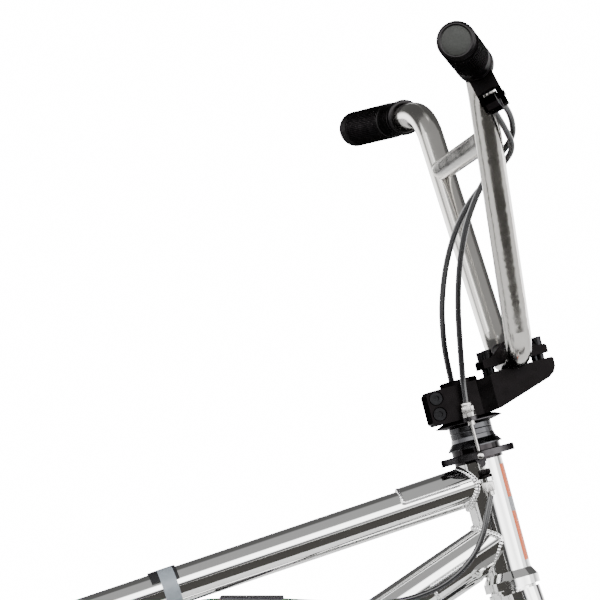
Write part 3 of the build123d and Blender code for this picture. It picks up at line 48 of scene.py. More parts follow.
# ---- places taken from the model's joints --------------------------------------------------
LEFT = np.array([0.0, 1.0, 0.0])
HEAD_FOOT = np.array(JOINTS["steering"]["pos_m"]) / MM
HEAD_UP = np.array(JOINTS["steering"]["axis"])
HEAD_FORWARD = np.array([HEAD_UP[2], 0.0, -HEAD_UP[0]])
FRONT_AXLE = np.array(JOINTS["front_wheel_spin"]["pos_m"]) / MM
REAR_AXLE = np.array(JOINTS["rear_wheel_spin"]["pos_m"]) / MM
BB = np.array(JOINTS["crank_spin"]["pos_m"]) / MM
SEAT_UP = np.array(JOINTS["seat_post_slide"]["axis"])
SADDLE_PIN = np.array(JOINTS["saddle_tilt"]["pos_m"]) / MM


def unit(vector):
    vector = np.asarray(vector, float)
    return vector / np.linalg.norm(vector)


def head(forward, up, left=0.0):
    """Point in millimetres, from the foot of the head tube, along and across the steering axis."""
    return HEAD_FOOT + HEAD_FORWARD * forward + HEAD_UP * up + LEFT * left


# ---- mesh helpers --------------------------------------------------------------------------
def piece(name, verts, faces, body, material, smooth=True, sharp=None):
    """A mesh piece, given in millimetres, that rides on a body."""
    mesh = bpy.data.meshes.new(name)
    mesh.from_pydata([tuple(v) for v in np.asarray(verts, float) * MM], [], faces)
    mesh.validate()
    mesh.update()
    if smooth:
        mesh.polygons.foreach_set("use_smooth", [True] * len(mesh.polygons))
    if sharp is not None:
        mesh.set_sharp_from_angle(angle=math.radians(sharp))
    obj = bpy.data.objects.new(name, mesh)
    bpy.context.scene.collection.objects.link(obj)
    obj.data.materials.append(material)
    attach(obj, body)
    return obj


def join(parts):
    """One list of points and faces from several."""
    verts, faces = [], []
    for points, quads in parts:
        base = len(verts)
        verts.extend(np.asarray(points, float).tolist())
        faces.extend([[base + i for i in face] for face in quads])
    return verts, faces


def grid_faces(rows, columns, wrap_rows=False, wrap_columns=True):
    faces = []
    for r in range(rows if wrap_rows else rows - 1):
        for c in range(columns if wrap_columns else columns - 1):
            a, b = r * columns + c, r * columns + (c + 1) % columns
            nr = (r + 1) % rows
            faces.append([a, b, nr * columns + (c + 1) % columns, nr * columns + c])
    return faces


def axes_of(direction):
    """Two unit vectors across a direction."""
    direction = unit(direction)
    seed = np.array([0.0, 0.0, 1.0]) if abs(direction[2]) < 0.9 else np.array([1.0, 0.0, 0.0])
    u = unit(np.cross(seed, direction))
    return u, np.cross(direction, u)


def lathe(profile, origin, axis, segments=64, bump=None, closed=False):
    """Surface turned about an axis from (radius, height) points. bump(angle, row) adds to the radius."""
    u, v = axes_of(axis)
    axis = unit(axis)
    verts = []
    for row, (radius, height) in enumerate(profile):
        for k in range(segments):
            turn = 2 * math.pi * k / segments
            r = radius + (bump(turn, row) if bump else 0.0)
            verts.append(origin + axis * height + (u * math.cos(turn) + v * math.sin(turn)) * r)
    rows = len(profile)
    faces = grid_faces(rows, segments, wrap_rows=closed)
    if not closed:
        faces.append(list(range(segments))[::-1])
        faces.append([(rows - 1) * segments + k for k in range(segments)])
    return verts, faces


def tube_along(points, radii, segments=12, closed=False):
    """Round tube along points, with one radius for each point."""
    points = np.asarray(points, float)
    n = len(points)
    if closed:
        tangents = np.roll(points, -1, 0) - np.roll(points, 1, 0)
    else:
        tangents = np.gradient(points, axis=0)
    tangents /= np.linalg.norm(tangents, axis=1)[:, None]
    u, _ = axes_of(tangents[0])
    verts = []
    for i in range(n):
        u = unit(u - tangents[i] * np.dot(u, tangents[i]))
        v = np.cross(tangents[i], u)
        for k in range(segments):
            turn = 2 * math.pi * k / segments
            verts.append(points[i] + (u * math.cos(turn) + v * math.sin(turn)) * radii[i])
    faces = grid_faces(n, segments, wrap_rows=closed)
    if not closed:
        faces.append(list(range(segments))[::-1])
        faces.append([(n - 1) * segments + k for k in range(segments)])
    return verts, faces


def box_block(centre, x_axis, y_axis, z_axis, size, taper=1.0):
    """Six-sided block. Its top face, along +z_axis, is scaled by taper."""
    verts = []
    for z in (-0.5, 0.5):
        share = taper if z > 0 else 1.0
        for x, y in ((-0.5, -0.5), (0.5, -0.5), (0.5, 0.5), (-0.5, 0.5)):
            across = x_axis * (x * share * size[0]) + y_axis * (y * share * size[1])
            verts.append(centre + across + z_axis * (z * size[2]))
    faces = [[3, 2, 1, 0], [4, 5, 6, 7], [0, 1, 5, 4], [1, 2, 6, 5], [2, 3, 7, 6], [3, 0, 4, 7]]
    return verts, faces


# ---- materials -----------------------------------------------------------------------------
def new_material(name):
    material = bpy.data.materials.new(name)
    material.use_nodes = True
    nodes = material.node_tree.nodes
    return material, nodes, material.node_tree.links, nodes["Principled BSDF"]


GRAIN_DEPTH = 0.0003


def surface(
    name, colour, metallic, rough, spread, scale, bump, bump_scale, specular=0.5, edge=1.0
):
    """Principled material whose colour, roughness and height vary with noise over the object.

    rough is the roughness range, spread the share by which the colour varies, scale the size of
    the clouds, bump and bump_scale the fine grain, and edge the tint of grazing reflections.
    """
    material, nodes, links, shader = new_material(name)
    shader.inputs["Metallic"].default_value = metallic
    shader.inputs["Specular IOR Level"].default_value = specular
    shader.inputs["Specular Tint"].default_value = (edge, edge, edge, 1)
    place = nodes.new("ShaderNodeTexCoord").outputs["Object"]
    cloud = nodes.new("ShaderNodeTexNoise")
    cloud.inputs["Scale"].default_value = scale
    cloud.inputs["Detail"].default_value = 6.0
    links.new(place, cloud.inputs["Vector"])
    mix = nodes.new("ShaderNodeMix")
    mix.data_type = "RGBA"
    dark = [c * (1 - spread) for c in colour]
    light = [min(1.0, c * (1 + spread)) for c in colour]
    mix.inputs["A"].default_value = (*dark, 1)
    mix.inputs["B"].default_value = (*light, 1)
    links.new(cloud.outputs["Fac"], mix.inputs["Factor"])
    links.new(mix.outputs["Result"], shader.inputs["Base Color"])
    span = nodes.new("ShaderNodeMapRange")
    span.inputs["From Min"].default_value = 0.3
    span.inputs["From Max"].default_value = 0.7
    span.inputs["To Min"].default_value = rough[0]
    span.inputs["To Max"].default_value = rough[1]
    links.new(cloud.outputs["Fac"], span.inputs["Value"])
    links.new(span.outputs["Result"], shader.inputs["Roughness"])
    grain = nodes.new("ShaderNodeTexNoise")
    grain.inputs["Scale"].default_value = bump_scale
    grain.inputs["Detail"].default_value = 3.0
    links.new(place, grain.inputs["Vector"])
    height = nodes.new("ShaderNodeBump")
    height.inputs["Strength"].default_value = bump
    height.inputs["Distance"].default_value = GRAIN_DEPTH
    links.new(grain.outputs["Fac"], height.inputs["Height"])
    links.new(height.outputs["Normal"], shader.inputs["Normal"])
    return material


CHROME = surface(
    "chrome_plate", (0.80, 0.80, 0.79), metallic=1.0, rough=(0.03, 0.07),
    spread=0.03, scale=25, bump=0.004, bump_scale=500,
)
BAR_CHROME = surface(
    "bar_chrome", (0.52, 0.505, 0.48), metallic=1.0, rough=(0.13, 0.20),
    spread=0.05, scale=30, bump=0.004, bump_scale=500,
)
WELD = surface(
    "weld_bead", (0.74, 0.74, 0.74), metallic=1.0, rough=(0.08, 0.18),
    spread=0.10, scale=200, bump=0.10, bump_scale=1500,
)
STEEL = surface(
    "machined_steel", (0.66, 0.65, 0.63), metallic=1.0, rough=(0.18, 0.32),
    spread=0.10, scale=300, bump=0.08, bump_scale=2500,
)
BRIGHT = surface(
    "bright_nickel", (0.42, 0.41, 0.40), metallic=1.0, rough=(0.16, 0.30),
    spread=0.06, scale=400, bump=0.05, bump_scale=2500,
)
SPACER = surface(
    "spacer_alloy", (0.050, 0.050, 0.053), metallic=1.0, rough=(0.16, 0.26),
    spread=0.12, scale=250, bump=0.06, bump_scale=2500,
)
BLACK_GLOSS = surface(
    "black_anodised", (0.0085, 0.0075, 0.0078), metallic=1.0, rough=(0.24, 0.34),
    spread=0.2, scale=120, bump=0.01, bump_scale=2500, edge=0.03,
)
BLACK_BOLT = surface(
    "black_oxide_bolt", (0.016, 0.016, 0.017), metallic=1.0, rough=(0.22, 0.32),
    spread=0.3, scale=300, bump=0.02, bump_scale=2500, edge=0.25,
)
DARK_SATIN = surface(
    "dark_anodised", (0.040, 0.038, 0.040), metallic=1.0, rough=(0.20, 0.30),
    spread=0.2, scale=250, bump=0.02, bump_scale=2500, edge=0.25,
)
POWDER = surface(
    "powder_coat", (0.009, 0.009, 0.0095), metallic=0.0, rough=(0.26, 0.38),
    spread=0.3, scale=150, bump=0.20, bump_scale=1200, specular=0.35,
)
CABLE = surface(
    "cable_cover", (0.009, 0.009, 0.010), metallic=0.0, rough=(0.16, 0.26),
    spread=0.3, scale=120, bump=0.04, bump_scale=1500, specular=0.6,
)
# Paler metal for the edge rounds of the black parts: a painted highlight along their edges.
EDGE_HIGHLIGHT = surface(
    "painted_edge_highlight", (0.40, 0.40, 0.40), metallic=1.0, rough=(0.22, 0.32),
    spread=0.2, scale=200, bump=0.02, bump_scale=2500, edge=0.3,
)
PLASTIC = surface(
    "moulded_plastic", (0.012, 0.012, 0.0125), metallic=0.0, rough=(0.40, 0.55),
    spread=0.25, scale=200, bump=0.30, bump_scale=1800, specular=0.3,
)
PLUG = surface(
    "plug_plastic", (0.017, 0.018, 0.016), metallic=0.0, rough=(0.50, 0.65),
    spread=0.2, scale=200, bump=0.35, bump_scale=1800, specular=0.3,
)
BAND = surface(
    "strap_band", (0.145, 0.165, 0.185), metallic=0.1, rough=(0.38, 0.52),
    spread=0.15, scale=200, bump=0.2, bump_scale=1500,
)
SHIM = surface(
    "strap_shim", (0.008, 0.008, 0.009), metallic=0.0, rough=(0.5, 0.65),
    spread=0.3, scale=200, bump=0.3, bump_scale=1500, specular=0.2,
)
GRIP = surface(
    "grip_rubber", (0.020, 0.0190, 0.0195), metallic=1.0, rough=(0.30, 0.42),
    spread=0.3, scale=150, bump=0.10, bump_scale=2200, edge=0.10,
)
TYRE = surface(
    "tyre_rubber", (0.013, 0.013, 0.0135), metallic=0.0, rough=(0.60, 0.78),
    spread=0.35, scale=90, bump=0.4, bump_scale=1800, specular=0.3,
)
CHAIN = surface(
    "chain_steel", (0.30, 0.29, 0.28), metallic=1.0, rough=(0.25, 0.42),
    spread=0.25, scale=300, bump=0.12, bump_scale=2500,
)
ORANGE = surface(
    "stripe_orange", (0.44, 0.075, 0.014), metallic=0.0, rough=(0.30, 0.42),
    spread=0.08, scale=200, bump=0.04, bump_scale=1500, specular=0.25,
)
GREY_STRIPE = surface(
    "stripe_grey", (0.17, 0.175, 0.185), metallic=0.0, rough=(0.30, 0.42),
    spread=0.10, scale=200, bump=0.04, bump_scale=1500, specular=0.25,
)


def saddle_cover():
    """Woven cover with a soft sheen."""
    material, nodes, links, shader = new_material("saddle_cover")
    shader.inputs["Sheen Weight"].default_value = 0.25
    shader.inputs["Sheen Roughness"].default_value = 0.5
    place = nodes.new("ShaderNodeTexCoord")
    heights = []
    for axis in ("X", "Y"):
        wave = nodes.new("ShaderNodeTexWave")
        wave.bands_direction = axis
        wave.inputs["Scale"].default_value = 420.0
        wave.inputs["Distortion"].default_value = 0.6
        links.new(place.outputs["Object"], wave.inputs["Vector"])
        heights.append(wave.outputs["Fac"])
    weave = nodes.new("ShaderNodeMath")
    weave.operation = "MULTIPLY"
    links.new(heights[0], weave.inputs[0])
    links.new(heights[1], weave.inputs[1])
    cloud = nodes.new("ShaderNodeTexNoise")
    cloud.inputs["Scale"].default_value = 35.0
    cloud.inputs["Detail"].default_value = 5.0
    links.new(place.outputs["Object"], cloud.inputs["Vector"])
    mix = nodes.new("ShaderNodeMix")
    mix.data_type = "RGBA"
    mix.inputs["A"].default_value = (0.010, 0.010, 0.011, 1)
    mix.inputs["B"].default_value = (0.034, 0.034, 0.037, 1)
    links.new(weave.outputs["Value"], mix.inputs["Factor"])
    links.new(mix.outputs["Result"], shader.inputs["Base Color"])
    span = nodes.new("ShaderNodeMapRange")
    span.inputs["To Min"].default_value = 0.62
    span.inputs["To Max"].default_value = 0.85
    links.new(cloud.outputs["Fac"], span.inputs["Value"])
    links.new(span.outputs["Result"], shader.inputs["Roughness"])
    height = nodes.new("ShaderNodeBump")
    height.inputs["Strength"].default_value = 0.5
    height.inputs["Distance"].default_value = 0.0004
    links.new(weave.outputs["Value"], height.inputs["Height"])
    links.new(height.outputs["Normal"], shader.inputs["Normal"])
    return material


SADDLE = saddle_cover()


CUP_SPLIT = 50.0
CUP_CHROME = (0.80, 0.80, 0.79, 1)
CUP_DARK = (0.022, 0.020, 0.021, 1)


def headset_finish():
    """Chrome on the lower cup, dark anodising on the upper one."""
    material, nodes, links, shader = new_material("headset_finish")
    shader.inputs["Metallic"].default_value = 1.0
    place = nodes.new("ShaderNodeTexCoord")
    along = nodes.new("ShaderNodeVectorMath")
    along.operation = "DOT_PRODUCT"
    along.inputs[1].default_value = tuple(HEAD_UP)
    links.new(place.outputs["Object"], along.inputs[0])
    middle = float(np.dot(HEAD_FOOT, HEAD_UP) + CUP_SPLIT) * MM
    share = nodes.new("ShaderNodeMapRange")
    share.inputs["From Min"].default_value = middle - MM
    share.inputs["From Max"].default_value = middle + MM
    links.new(along.outputs["Value"], share.inputs["Value"])
    cloud = nodes.new("ShaderNodeTexNoise")
    cloud.inputs["Scale"].default_value = 200.0
    cloud.inputs["Detail"].default_value = 5.0
    links.new(place.outputs["Object"], cloud.inputs["Vector"])
    tone = nodes.new("ShaderNodeMix")
    tone.data_type = "RGBA"
    tone.inputs["A"].default_value = CUP_CHROME
    tone.inputs["B"].default_value = CUP_DARK
    links.new(share.outputs["Result"], tone.inputs["Factor"])
    links.new(tone.outputs["Result"], shader.inputs["Base Color"])
    rough = nodes.new("ShaderNodeMath")
    rough.operation = "MULTIPLY_ADD"
    rough.inputs[1].default_value = 0.08
    rough.inputs[2].default_value = 0.04
    links.new(cloud.outputs["Fac"], rough.inputs[0])
    links.new(rough.outputs["Value"], shader.inputs["Roughness"])
    return material


HEADSET = headset_finish()

NODE_MATERIALS = {
    CHROME: "head_tube top_tube down_tube seat_tube bottom_bracket_shell chain_stays seat_stays "
    "rear_dropouts frame_gussets fork_steerer fork_legs",
    HEADSET: "headset_cups",
    BAR_CHROME: "handlebar",
    STEEL: "headset_bearings bottom_bracket_bearings rear_axle front_axle saddle_rails front_spokes "
    "rear_spokes freewheel pedal_axles crank_spindle",
    BRIGHT: "lower_cable_barrels upper_cable_barrels brake_noodle",
    BLACK_BOLT: "stem_bolts",
    BLACK_GLOSS: "stem_body stem_cap stem_top_cap lever_perch brake_lever seat_clamp left_brake_arm "
    "right_brake_arm",
    SPACER: "headset_spacers",
    DARK_SATIN: "gyro_upper_rotor gyro_lower_rotor gyro_upper_plate",
    POWDER: "crank_arms sprocket seat_post saddle_clamp front_hub rear_hub front_rim rear_rim",
    CABLE: "lower_brake_cables upper_brake_cables rear_brake_housing cable_splitter",
    PLASTIC: "left_pedal right_pedal",
    PLUG: "bar_end_plugs",
    BAND: "top_tube_strap",
    SADDLE: "saddle",
    GRIP: "grips",
    TYRE: "front_tyre rear_tyre",
    CHAIN: "chain",
}
for material, names in NODE_MATERIALS.items():
    for name in names.split():
        for slot_holder in NODES[name].material_slots:
            slot_holder.material = material


# Machined and cast parts have a small round on every edge, which catches the light.
EDGE_ROUNDS = {
    0.55: "stem_body stem_cap lever_perch brake_lever",
    0.35: "stem_top_cap gyro_upper_plate gyro_upper_rotor gyro_lower_rotor headset_spacers stem_bolts",
    0.50: "crank_arms sprocket seat_clamp saddle_clamp left_brake_arm right_brake_arm left_pedal right_pedal",
}
# These also have a paler metal on the rounds: a painted highlight along the edges.
HIGHLIGHTED_EDGES = (
    "stem_body", "stem_cap", "lever_perch", "brake_lever", "gyro_upper_plate", "gyro_upper_rotor",
)
for width, names in EDGE_ROUNDS.items():
    for name in names.split():
        rounding = NODES[name].modifiers.new("edge_round", "BEVEL")
        rounding.width = width * MM
        rounding.segments = 2
        rounding.limit_method = "ANGLE"
        rounding.angle_limit = math.radians(35)
        rounding.miter_outer = "MITER_ARC"
        if name in HIGHLIGHTED_EDGES:
            # Painted highlight: the rounds get the paler metal.
            NODES[name].data.materials.append(EDGE_HIGHLIGHT)
            rounding.material = len(NODES[name].material_slots) - 1


# ---- weld beads ----------------------------------------------------------------------------
def bead(points, radius, closed=True):
    """Weld bead along a line, with the ripples of a stacked weld."""
    points = np.asarray(points, float)
    if closed:
        points = np.vstack([points, points[:1]])
    steps = np.linalg.norm(np.diff(points, axis=0), axis=1)
    along = np.concatenate([[0], np.cumsum(steps)])
    total = along[-1]
    ripples = max(3, round(total / 2.6))
    count = ripples * 5
    places = np.linspace(0, total, count, endpoint=not closed)
    line = np.array([[np.interp(p, along, points[:, i]) for i in range(3)] for p in places])
    wave = (places / total * ripples) % 1.0
    radii = radius * (0.80 + 0.26 * np.sqrt(np.clip(1 - (2 * wave - 1) ** 2, 0, 1)))
    if not closed:
        radii[0] = radii[-1] = radius * 0.5
    return tube_along(line, radii, 10, closed)


def saddle_line(start, axis, radius, origin, other_axis, other_radius, count=96):
    """Line where a round tube meets the outside of another round tube."""
    axis, other_axis = unit(axis), unit(other_axis)
    u, v = axes_of(axis)
    points = []
    for k in range(count):
        turn = math.radians(360 * (k / count))
        p = start + (u * math.cos(turn) + v * math.sin(turn)) * radius
        offset = p - origin
        flat = offset - other_axis * np.dot(offset, other_axis)
        run = axis - other_axis * np.dot(axis, other_axis)
        a, b = np.dot(run, run), 2 * np.dot(flat, run)
        c = np.dot(flat, flat) - other_radius**2
        disc = b * b - 4 * a * c
        t = -b / (2 * a) if disc < 0 else (-b + math.sqrt(disc)) / (2 * a)
        points.append(p + axis * t)
    return points


TOP_FRONT = head(0, 76.9)
TOP_REAR = BB + SEAT_UP * 188.2
DOWN_FRONT = head(0, 28.65)
TOP_AXIS = unit(TOP_REAR - TOP_FRONT)
DOWN_AXIS = unit(BB - DOWN_FRONT)
STAY_TOP = BB + SEAT_UP * 180.0
STAY_AXIS = unit(STAY_TOP - REAR_AXLE)
OVER_TOP = np.array([TOP_AXIS[2], 0.0, -TOP_AXIS[0]])
UNDER_DOWN = np.array([-DOWN_AXIS[2], 0.0, DOWN_AXIS[0]])


GUSSET_WALL = 2.2


def gusset_edges(start, axis, facing, radius, lift, low, high):
    """Outline of a wrapped gusset's side and rear edges on its tube."""
    outer = radius + GUSSET_WALL / 2
    half = math.acos(lift / outer)
    side = np.cross(axis, facing)
    line = []

    def at(along, turn):
        return start + axis * along + (facing * math.cos(turn) + side * math.sin(turn)) * outer

    for along in np.linspace(low, high, 24):
        line.append(at(along, -half))
    for turn in np.linspace(-half, half, 24)[1:-1]:
        line.append(at(high, turn))
    for along in np.linspace(high, low, 24):
        line.append(at(along, half))
    return line


# radii of the lines that the beads follow, at or just outside the tubes' own
HEAD_LINE = 19.3
TOP_FRONT_LINE = 17.2
TOP_REAR_LINE = 14.1
DOWN_LINE = 19.2
SEAT_LINE = 14.5
SHELL_LINE = 24.4
CHAIN_STAY_LINE = 9.1
SEAT_STAY_LINE = 8.1
TOP_TUBE_RADIUS = 15.9
DOWN_TUBE_RADIUS = 19.05
GUSSET_END = 72.0
GUSSET_BEAD = 1.5
STAY_SPREAD = 58.0


def frame_welds():
    """Beads round the frame's joints and along the gussets' free edges."""
    parts = []
    line = saddle_line(TOP_FRONT, TOP_AXIS, TOP_FRONT_LINE, HEAD_FOOT, HEAD_UP, HEAD_LINE)
    parts.append(bead(line, 2.3))
    line = saddle_line(DOWN_FRONT, DOWN_AXIS, DOWN_LINE, HEAD_FOOT, HEAD_UP, HEAD_LINE)
    parts.append(bead(line, 2.4))
    line = saddle_line(TOP_REAR, -TOP_AXIS, TOP_REAR_LINE, BB, SEAT_UP, SEAT_LINE)
    parts.append(bead(line, 1.9))
    line = saddle_line(BB, -DOWN_AXIS, DOWN_LINE, BB, LEFT, SHELL_LINE)
    parts.append(bead(line, 2.3))
    line = saddle_line(BB, SEAT_UP, SEAT_LINE, BB, LEFT, SHELL_LINE)
    parts.append(bead(line, 2.1))
    for side in (1, -1):
        front = BB + LEFT * side * 25.0
        rear = REAR_AXLE + LEFT * side * STAY_SPREAD
        line = saddle_line(front, unit(rear - front), CHAIN_STAY_LINE, BB, LEFT, SHELL_LINE)
        parts.append(bead(line, 1.7))
        top = STAY_TOP + LEFT * side * 21.0
        low = REAR_AXLE + STAY_AXIS * 112 + LEFT * side * STAY_SPREAD
        line = saddle_line(top, unit(low - top), SEAT_STAY_LINE, BB, SEAT_UP, SEAT_LINE)
        parts.append(bead(line, 1.6))
    line = gusset_edges(TOP_FRONT, TOP_AXIS, OVER_TOP, TOP_TUBE_RADIUS, 5.0, 22, GUSSET_END)
    parts.append(bead(line, GUSSET_BEAD, False))
    line = gusset_edges(DOWN_FRONT, DOWN_AXIS, UNDER_DOWN, DOWN_TUBE_RADIUS, 0.1, 26, GUSSET_END)
    parts.append(bead(line, GUSSET_BEAD, False))
    verts, faces = join(parts)
    piece("frame_welds", verts, faces, "frame", WELD)


frame_welds()


# ---- detangler wires -----------------------------------------------------------------------
WIRE_FORWARD = -2.0
WIRE_SIDE = 29.0
WIRE_RADIUS = 1.12
NIPPLE = [(2.4, 0.0), (2.78, 0.4), (2.78, 5.0), (2.3, 5.5)]
# body, upper and lower end of the wire, height of the nipple and the place of its inner face
WIRE_RUNS = (
    ("gyro_upper", 126.6, 98.8, 98.8, 28.2),
    ("gyro_lower", 92.3, 68.0, 92.3, 26.8),
)


def gyro_wires():
    """Bright wires and nipples over the rotors' plain ones."""
    for body, high, low, nipple, inner in WIRE_RUNS:
        parts = []
        for side in (1, -1):
            ends = [head(WIRE_FORWARD, height, side * WIRE_SIDE) for height in (high, low)]
            parts.append(tube_along(ends, [WIRE_RADIUS, WIRE_RADIUS], 14))
            parts.append(lathe(NIPPLE, head(WIRE_FORWARD, nipple, side * inner), LEFT * side, 32))
        verts, faces = join(parts)
        piece(body + "_wires", verts, faces, body, BRIGHT, sharp=50)


gyro_wires()


# ---- grips ---------------------------------------------------------------------------------
BAR_CLAMP = head(48.6, 172.0)
BAR_LEAN = math.radians(13.0)
BAR_BACKSWEEP = math.radians(12.55)
BAR_UPSWEEP = math.radians(0.7)
BAR_RISE = 228.0
BAR_SHOULDER = 185.0
BAR_HALF_WIDTH = 367.0
GRIP_LENGTH = 138.0
GRIP_BORE = 11.15
GRIP_STEP = 0.5


def grip_axis(side):
    return unit([-math.tan(BAR_BACKSWEEP), side, math.tan(BAR_UPSWEEP)])


def grip_end(side):
    """Outer end of one hand section's centre line."""
    back, up = -math.sin(BAR_LEAN) * BAR_RISE, math.cos(BAR_LEAN) * BAR_RISE
    shoulder = BAR_CLAMP + np.array([back, side * BAR_SHOULDER, up])
    return shoulder + grip_axis(side) * (BAR_HALF_WIDTH - BAR_SHOULDER) / math.cos(BAR_BACKSWEEP)


def grip_height(s, turn):
    """Radius of the rubber at a distance from the outer end."""
    if s < 3.0:
        return 15.75 - 0.25 * (3.0 - s) ** 2 / 2.2
    if s < 15.0:
        return 15.35 + 0.38 * math.sin(2 * math.pi * s / 2.0)
    if s < 17.0:
        return 14.7
    if s < 104.0:
        a = math.sin(2 * math.pi * s / 5.2 + 14 * turn)
        b = math.sin(2 * math.pi * s / 5.2 - 14 * turn)
        return 15.0 + 0.70 * min(1.0, 1.6 * abs(a * b)) ** 0.7
    if s < 106.0:
        return 14.7
    if s < 131.0:
        return 15.35 - 0.15 * math.sin(math.pi * (s - 106.0) / 25.0)
    if s < 133.0:
        return 14.9
    return 15.7 - 0.12 * max(0.0, s - 136.5) ** 2


def grips():
    """Rubber sleeves with a knurl and two collars."""
    parts = []
    for side in (1, -1):
        end, axis = grip_end(side), grip_axis(side)
        stops = np.linspace(0, GRIP_LENGTH, round(GRIP_LENGTH / GRIP_STEP) + 1)
        profile = [(GRIP_BORE, 0.0)] + [(0.0, s) for s in stops] + [(GRIP_BORE, GRIP_LENGTH)]

        def bump(turn, row, stops=stops):
            return grip_height(stops[row - 1], turn) if 0 < row <= len(stops) else 0.0

        parts.append(lathe(profile, end, -axis, 112, bump, closed=True))
    verts, faces = join(parts)
    obj = piece("grip_sleeves", verts, faces, "steering", GRIP)
    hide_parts("grips")


grips()


PLUG_RIM = [
    (11.6, 0.2), (14.0, 0.2), (14.2, 0.6), (14.2, 1.5), (13.7, 2.1), (12.4, 2.2), (11.6, 1.7)
]
PLUG_DISC = [(8.3, -22.0), (8.3, 0.0), (11.6, 0.1), (11.9, 1.2), (11.4, 1.5), (4.0, 1.75)]


def plugs():
    """Bar end plugs: a dark raised rim round a grey disc, with the stem inside the bar."""
    rims, discs = [], []
    for side in (1, -1):
        end, axis = grip_end(side), grip_axis(side)
        rims.append(lathe(PLUG_RIM, end, axis, 72, closed=True))
        discs.append(lathe(PLUG_DISC, end, axis, 72))
    verts, faces = join(discs)
    disc = piece("plug_discs", verts, faces, "steering", PLUG, sharp=40)
    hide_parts("bar_end_plugs")
    verts, faces = join(rims)
    piece("plug_rims", verts, faces, "steering", GRIP, sharp=50)


plugs()


# ---- tyres ---------------------------------------------------------------------------------
TYRE_CIRCLE = 226.0
CASING_INSIDE = 20.4
TREAD_COUNT = 90
TREAD_MIDDLE = 23.15
TREAD_HEIGHT = 1.5
TREAD_TAPER = 0.86
# degrees from the middle, shift in steps, length round the tyre, width across it
TREAD_ROWS = (
    (0.0, 0.0, 9.4, 7.6),
    (17.0, 0.5, 7.4, 5.6),
    (32.0, 0.0, 8.6, 5.2),
    (47.0, 0.5, 7.6, 5.6),
)
BEAD_SIDE = [(210.2, 13.0), (204.0, 12.3), (203.4, 10.0), (209.0, 10.4)]


def on_section(radius, degrees):
    """Point of the tyre's round section as (radius from the axle, across)."""
    phi = math.radians(degrees)
    return TYRE_CIRCLE + radius * math.cos(phi), radius * math.sin(phi)


def tyre_profile():
    """Closed section of the tyre as (radius, across) points."""
    points = []
    for phi in np.linspace(-129, 129, 53):
        swell = 22.9 if abs(phi) < 62 else 23.7
        if 66 < abs(phi) < 70 or 104 < abs(phi) < 108:
            swell = 23.2
        if abs(phi) > 118:
            swell = 23.3
        points.append(on_section(swell, phi))
    points += BEAD_SIDE
    points += [on_section(CASING_INSIDE, phi) for phi in np.linspace(126, -126, 37)]
    points += [(radius, -across) for radius, across in reversed(BEAD_SIDE)]
    return points


def tread(centre):
    """Rows of low blocks round the tyre."""
    parts = []
    for lean, shift, length, width in TREAD_ROWS:
        for side in ((1, -1) if lean else (1,)):
            for k in range(TREAD_COUNT):
                turn = 2 * math.pi * (k + shift) / TREAD_COUNT
                phi = math.radians(lean * side)
                out = np.array([math.cos(turn), 0.0, math.sin(turn)])
                along = np.array([-math.sin(turn), 0.0, math.cos(turn)])
                normal = out * math.cos(phi) + LEFT * math.sin(phi)
                across = np.cross(normal, along)
                middle = centre + out * TYRE_CIRCLE + normal * TREAD_MIDDLE
                size = (length, width, TREAD_HEIGHT)
                parts.append(box_block(middle, along, across, normal, size, TREAD_TAPER))
    return parts


def tyres():
    profile = tyre_profile()
    for name, centre in (("front", FRONT_AXLE), ("rear", REAR_AXLE)):
        shell = lathe(profile, centre, LEFT, 144, closed=True)
        verts, faces = join([shell] + tread(centre))
        obj = piece(name + "_tyre_tread", verts, faces, name + "_wheel", TYRE, sharp=32)
        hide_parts(name + "_tyre")


tyres()


VALVE_FOOT = 192.0
VALVE_OUT = unit([-0.35, 0, -0.94])
VALVE_STEM = [(2.9, -2), (2.9, 10), (3.4, 10.5), (3.4, 14), (4.0, 14.5), (4.0, 26), (3.2, 28)]


def valves():
    """Valve in each rim, with a ribbed cap."""
    for name, centre in (("front", FRONT_AXLE), ("rear", REAR_AXLE)):

        def ribs(turn, row):
            return 0.18 * math.cos(12 * turn) if row in (4, 5) else 0.0

        verts, faces = lathe(VALVE_STEM, centre + VALVE_OUT * VALVE_FOOT, -VALVE_OUT, 36, ribs)
        piece(name + "_valve", verts, faces, name + "_wheel", PLASTIC, sharp=35)


valves()


# ---- chain ---------------------------------------------------------------------------------
PITCH = 12.7
LINKS = 84
FRONT_TEETH = 36
REAR_TEETH = 13
FRONT_PITCH = PITCH / (2 * math.sin(math.pi / FRONT_TEETH))
REAR_PITCH = PITCH / (2 * math.sin(math.pi / REAR_TEETH))
CHAIN_SIDE = -44.0
PLATE_THICK = 0.95
PLATE_WAIST = 2.7
ROLLER = [(3.85, -1.7), (3.85, 1.7)]
RIVET = [(1.3, -4.1), (1.75, -3.9), (1.75, 3.9), (1.3, 4.1)]


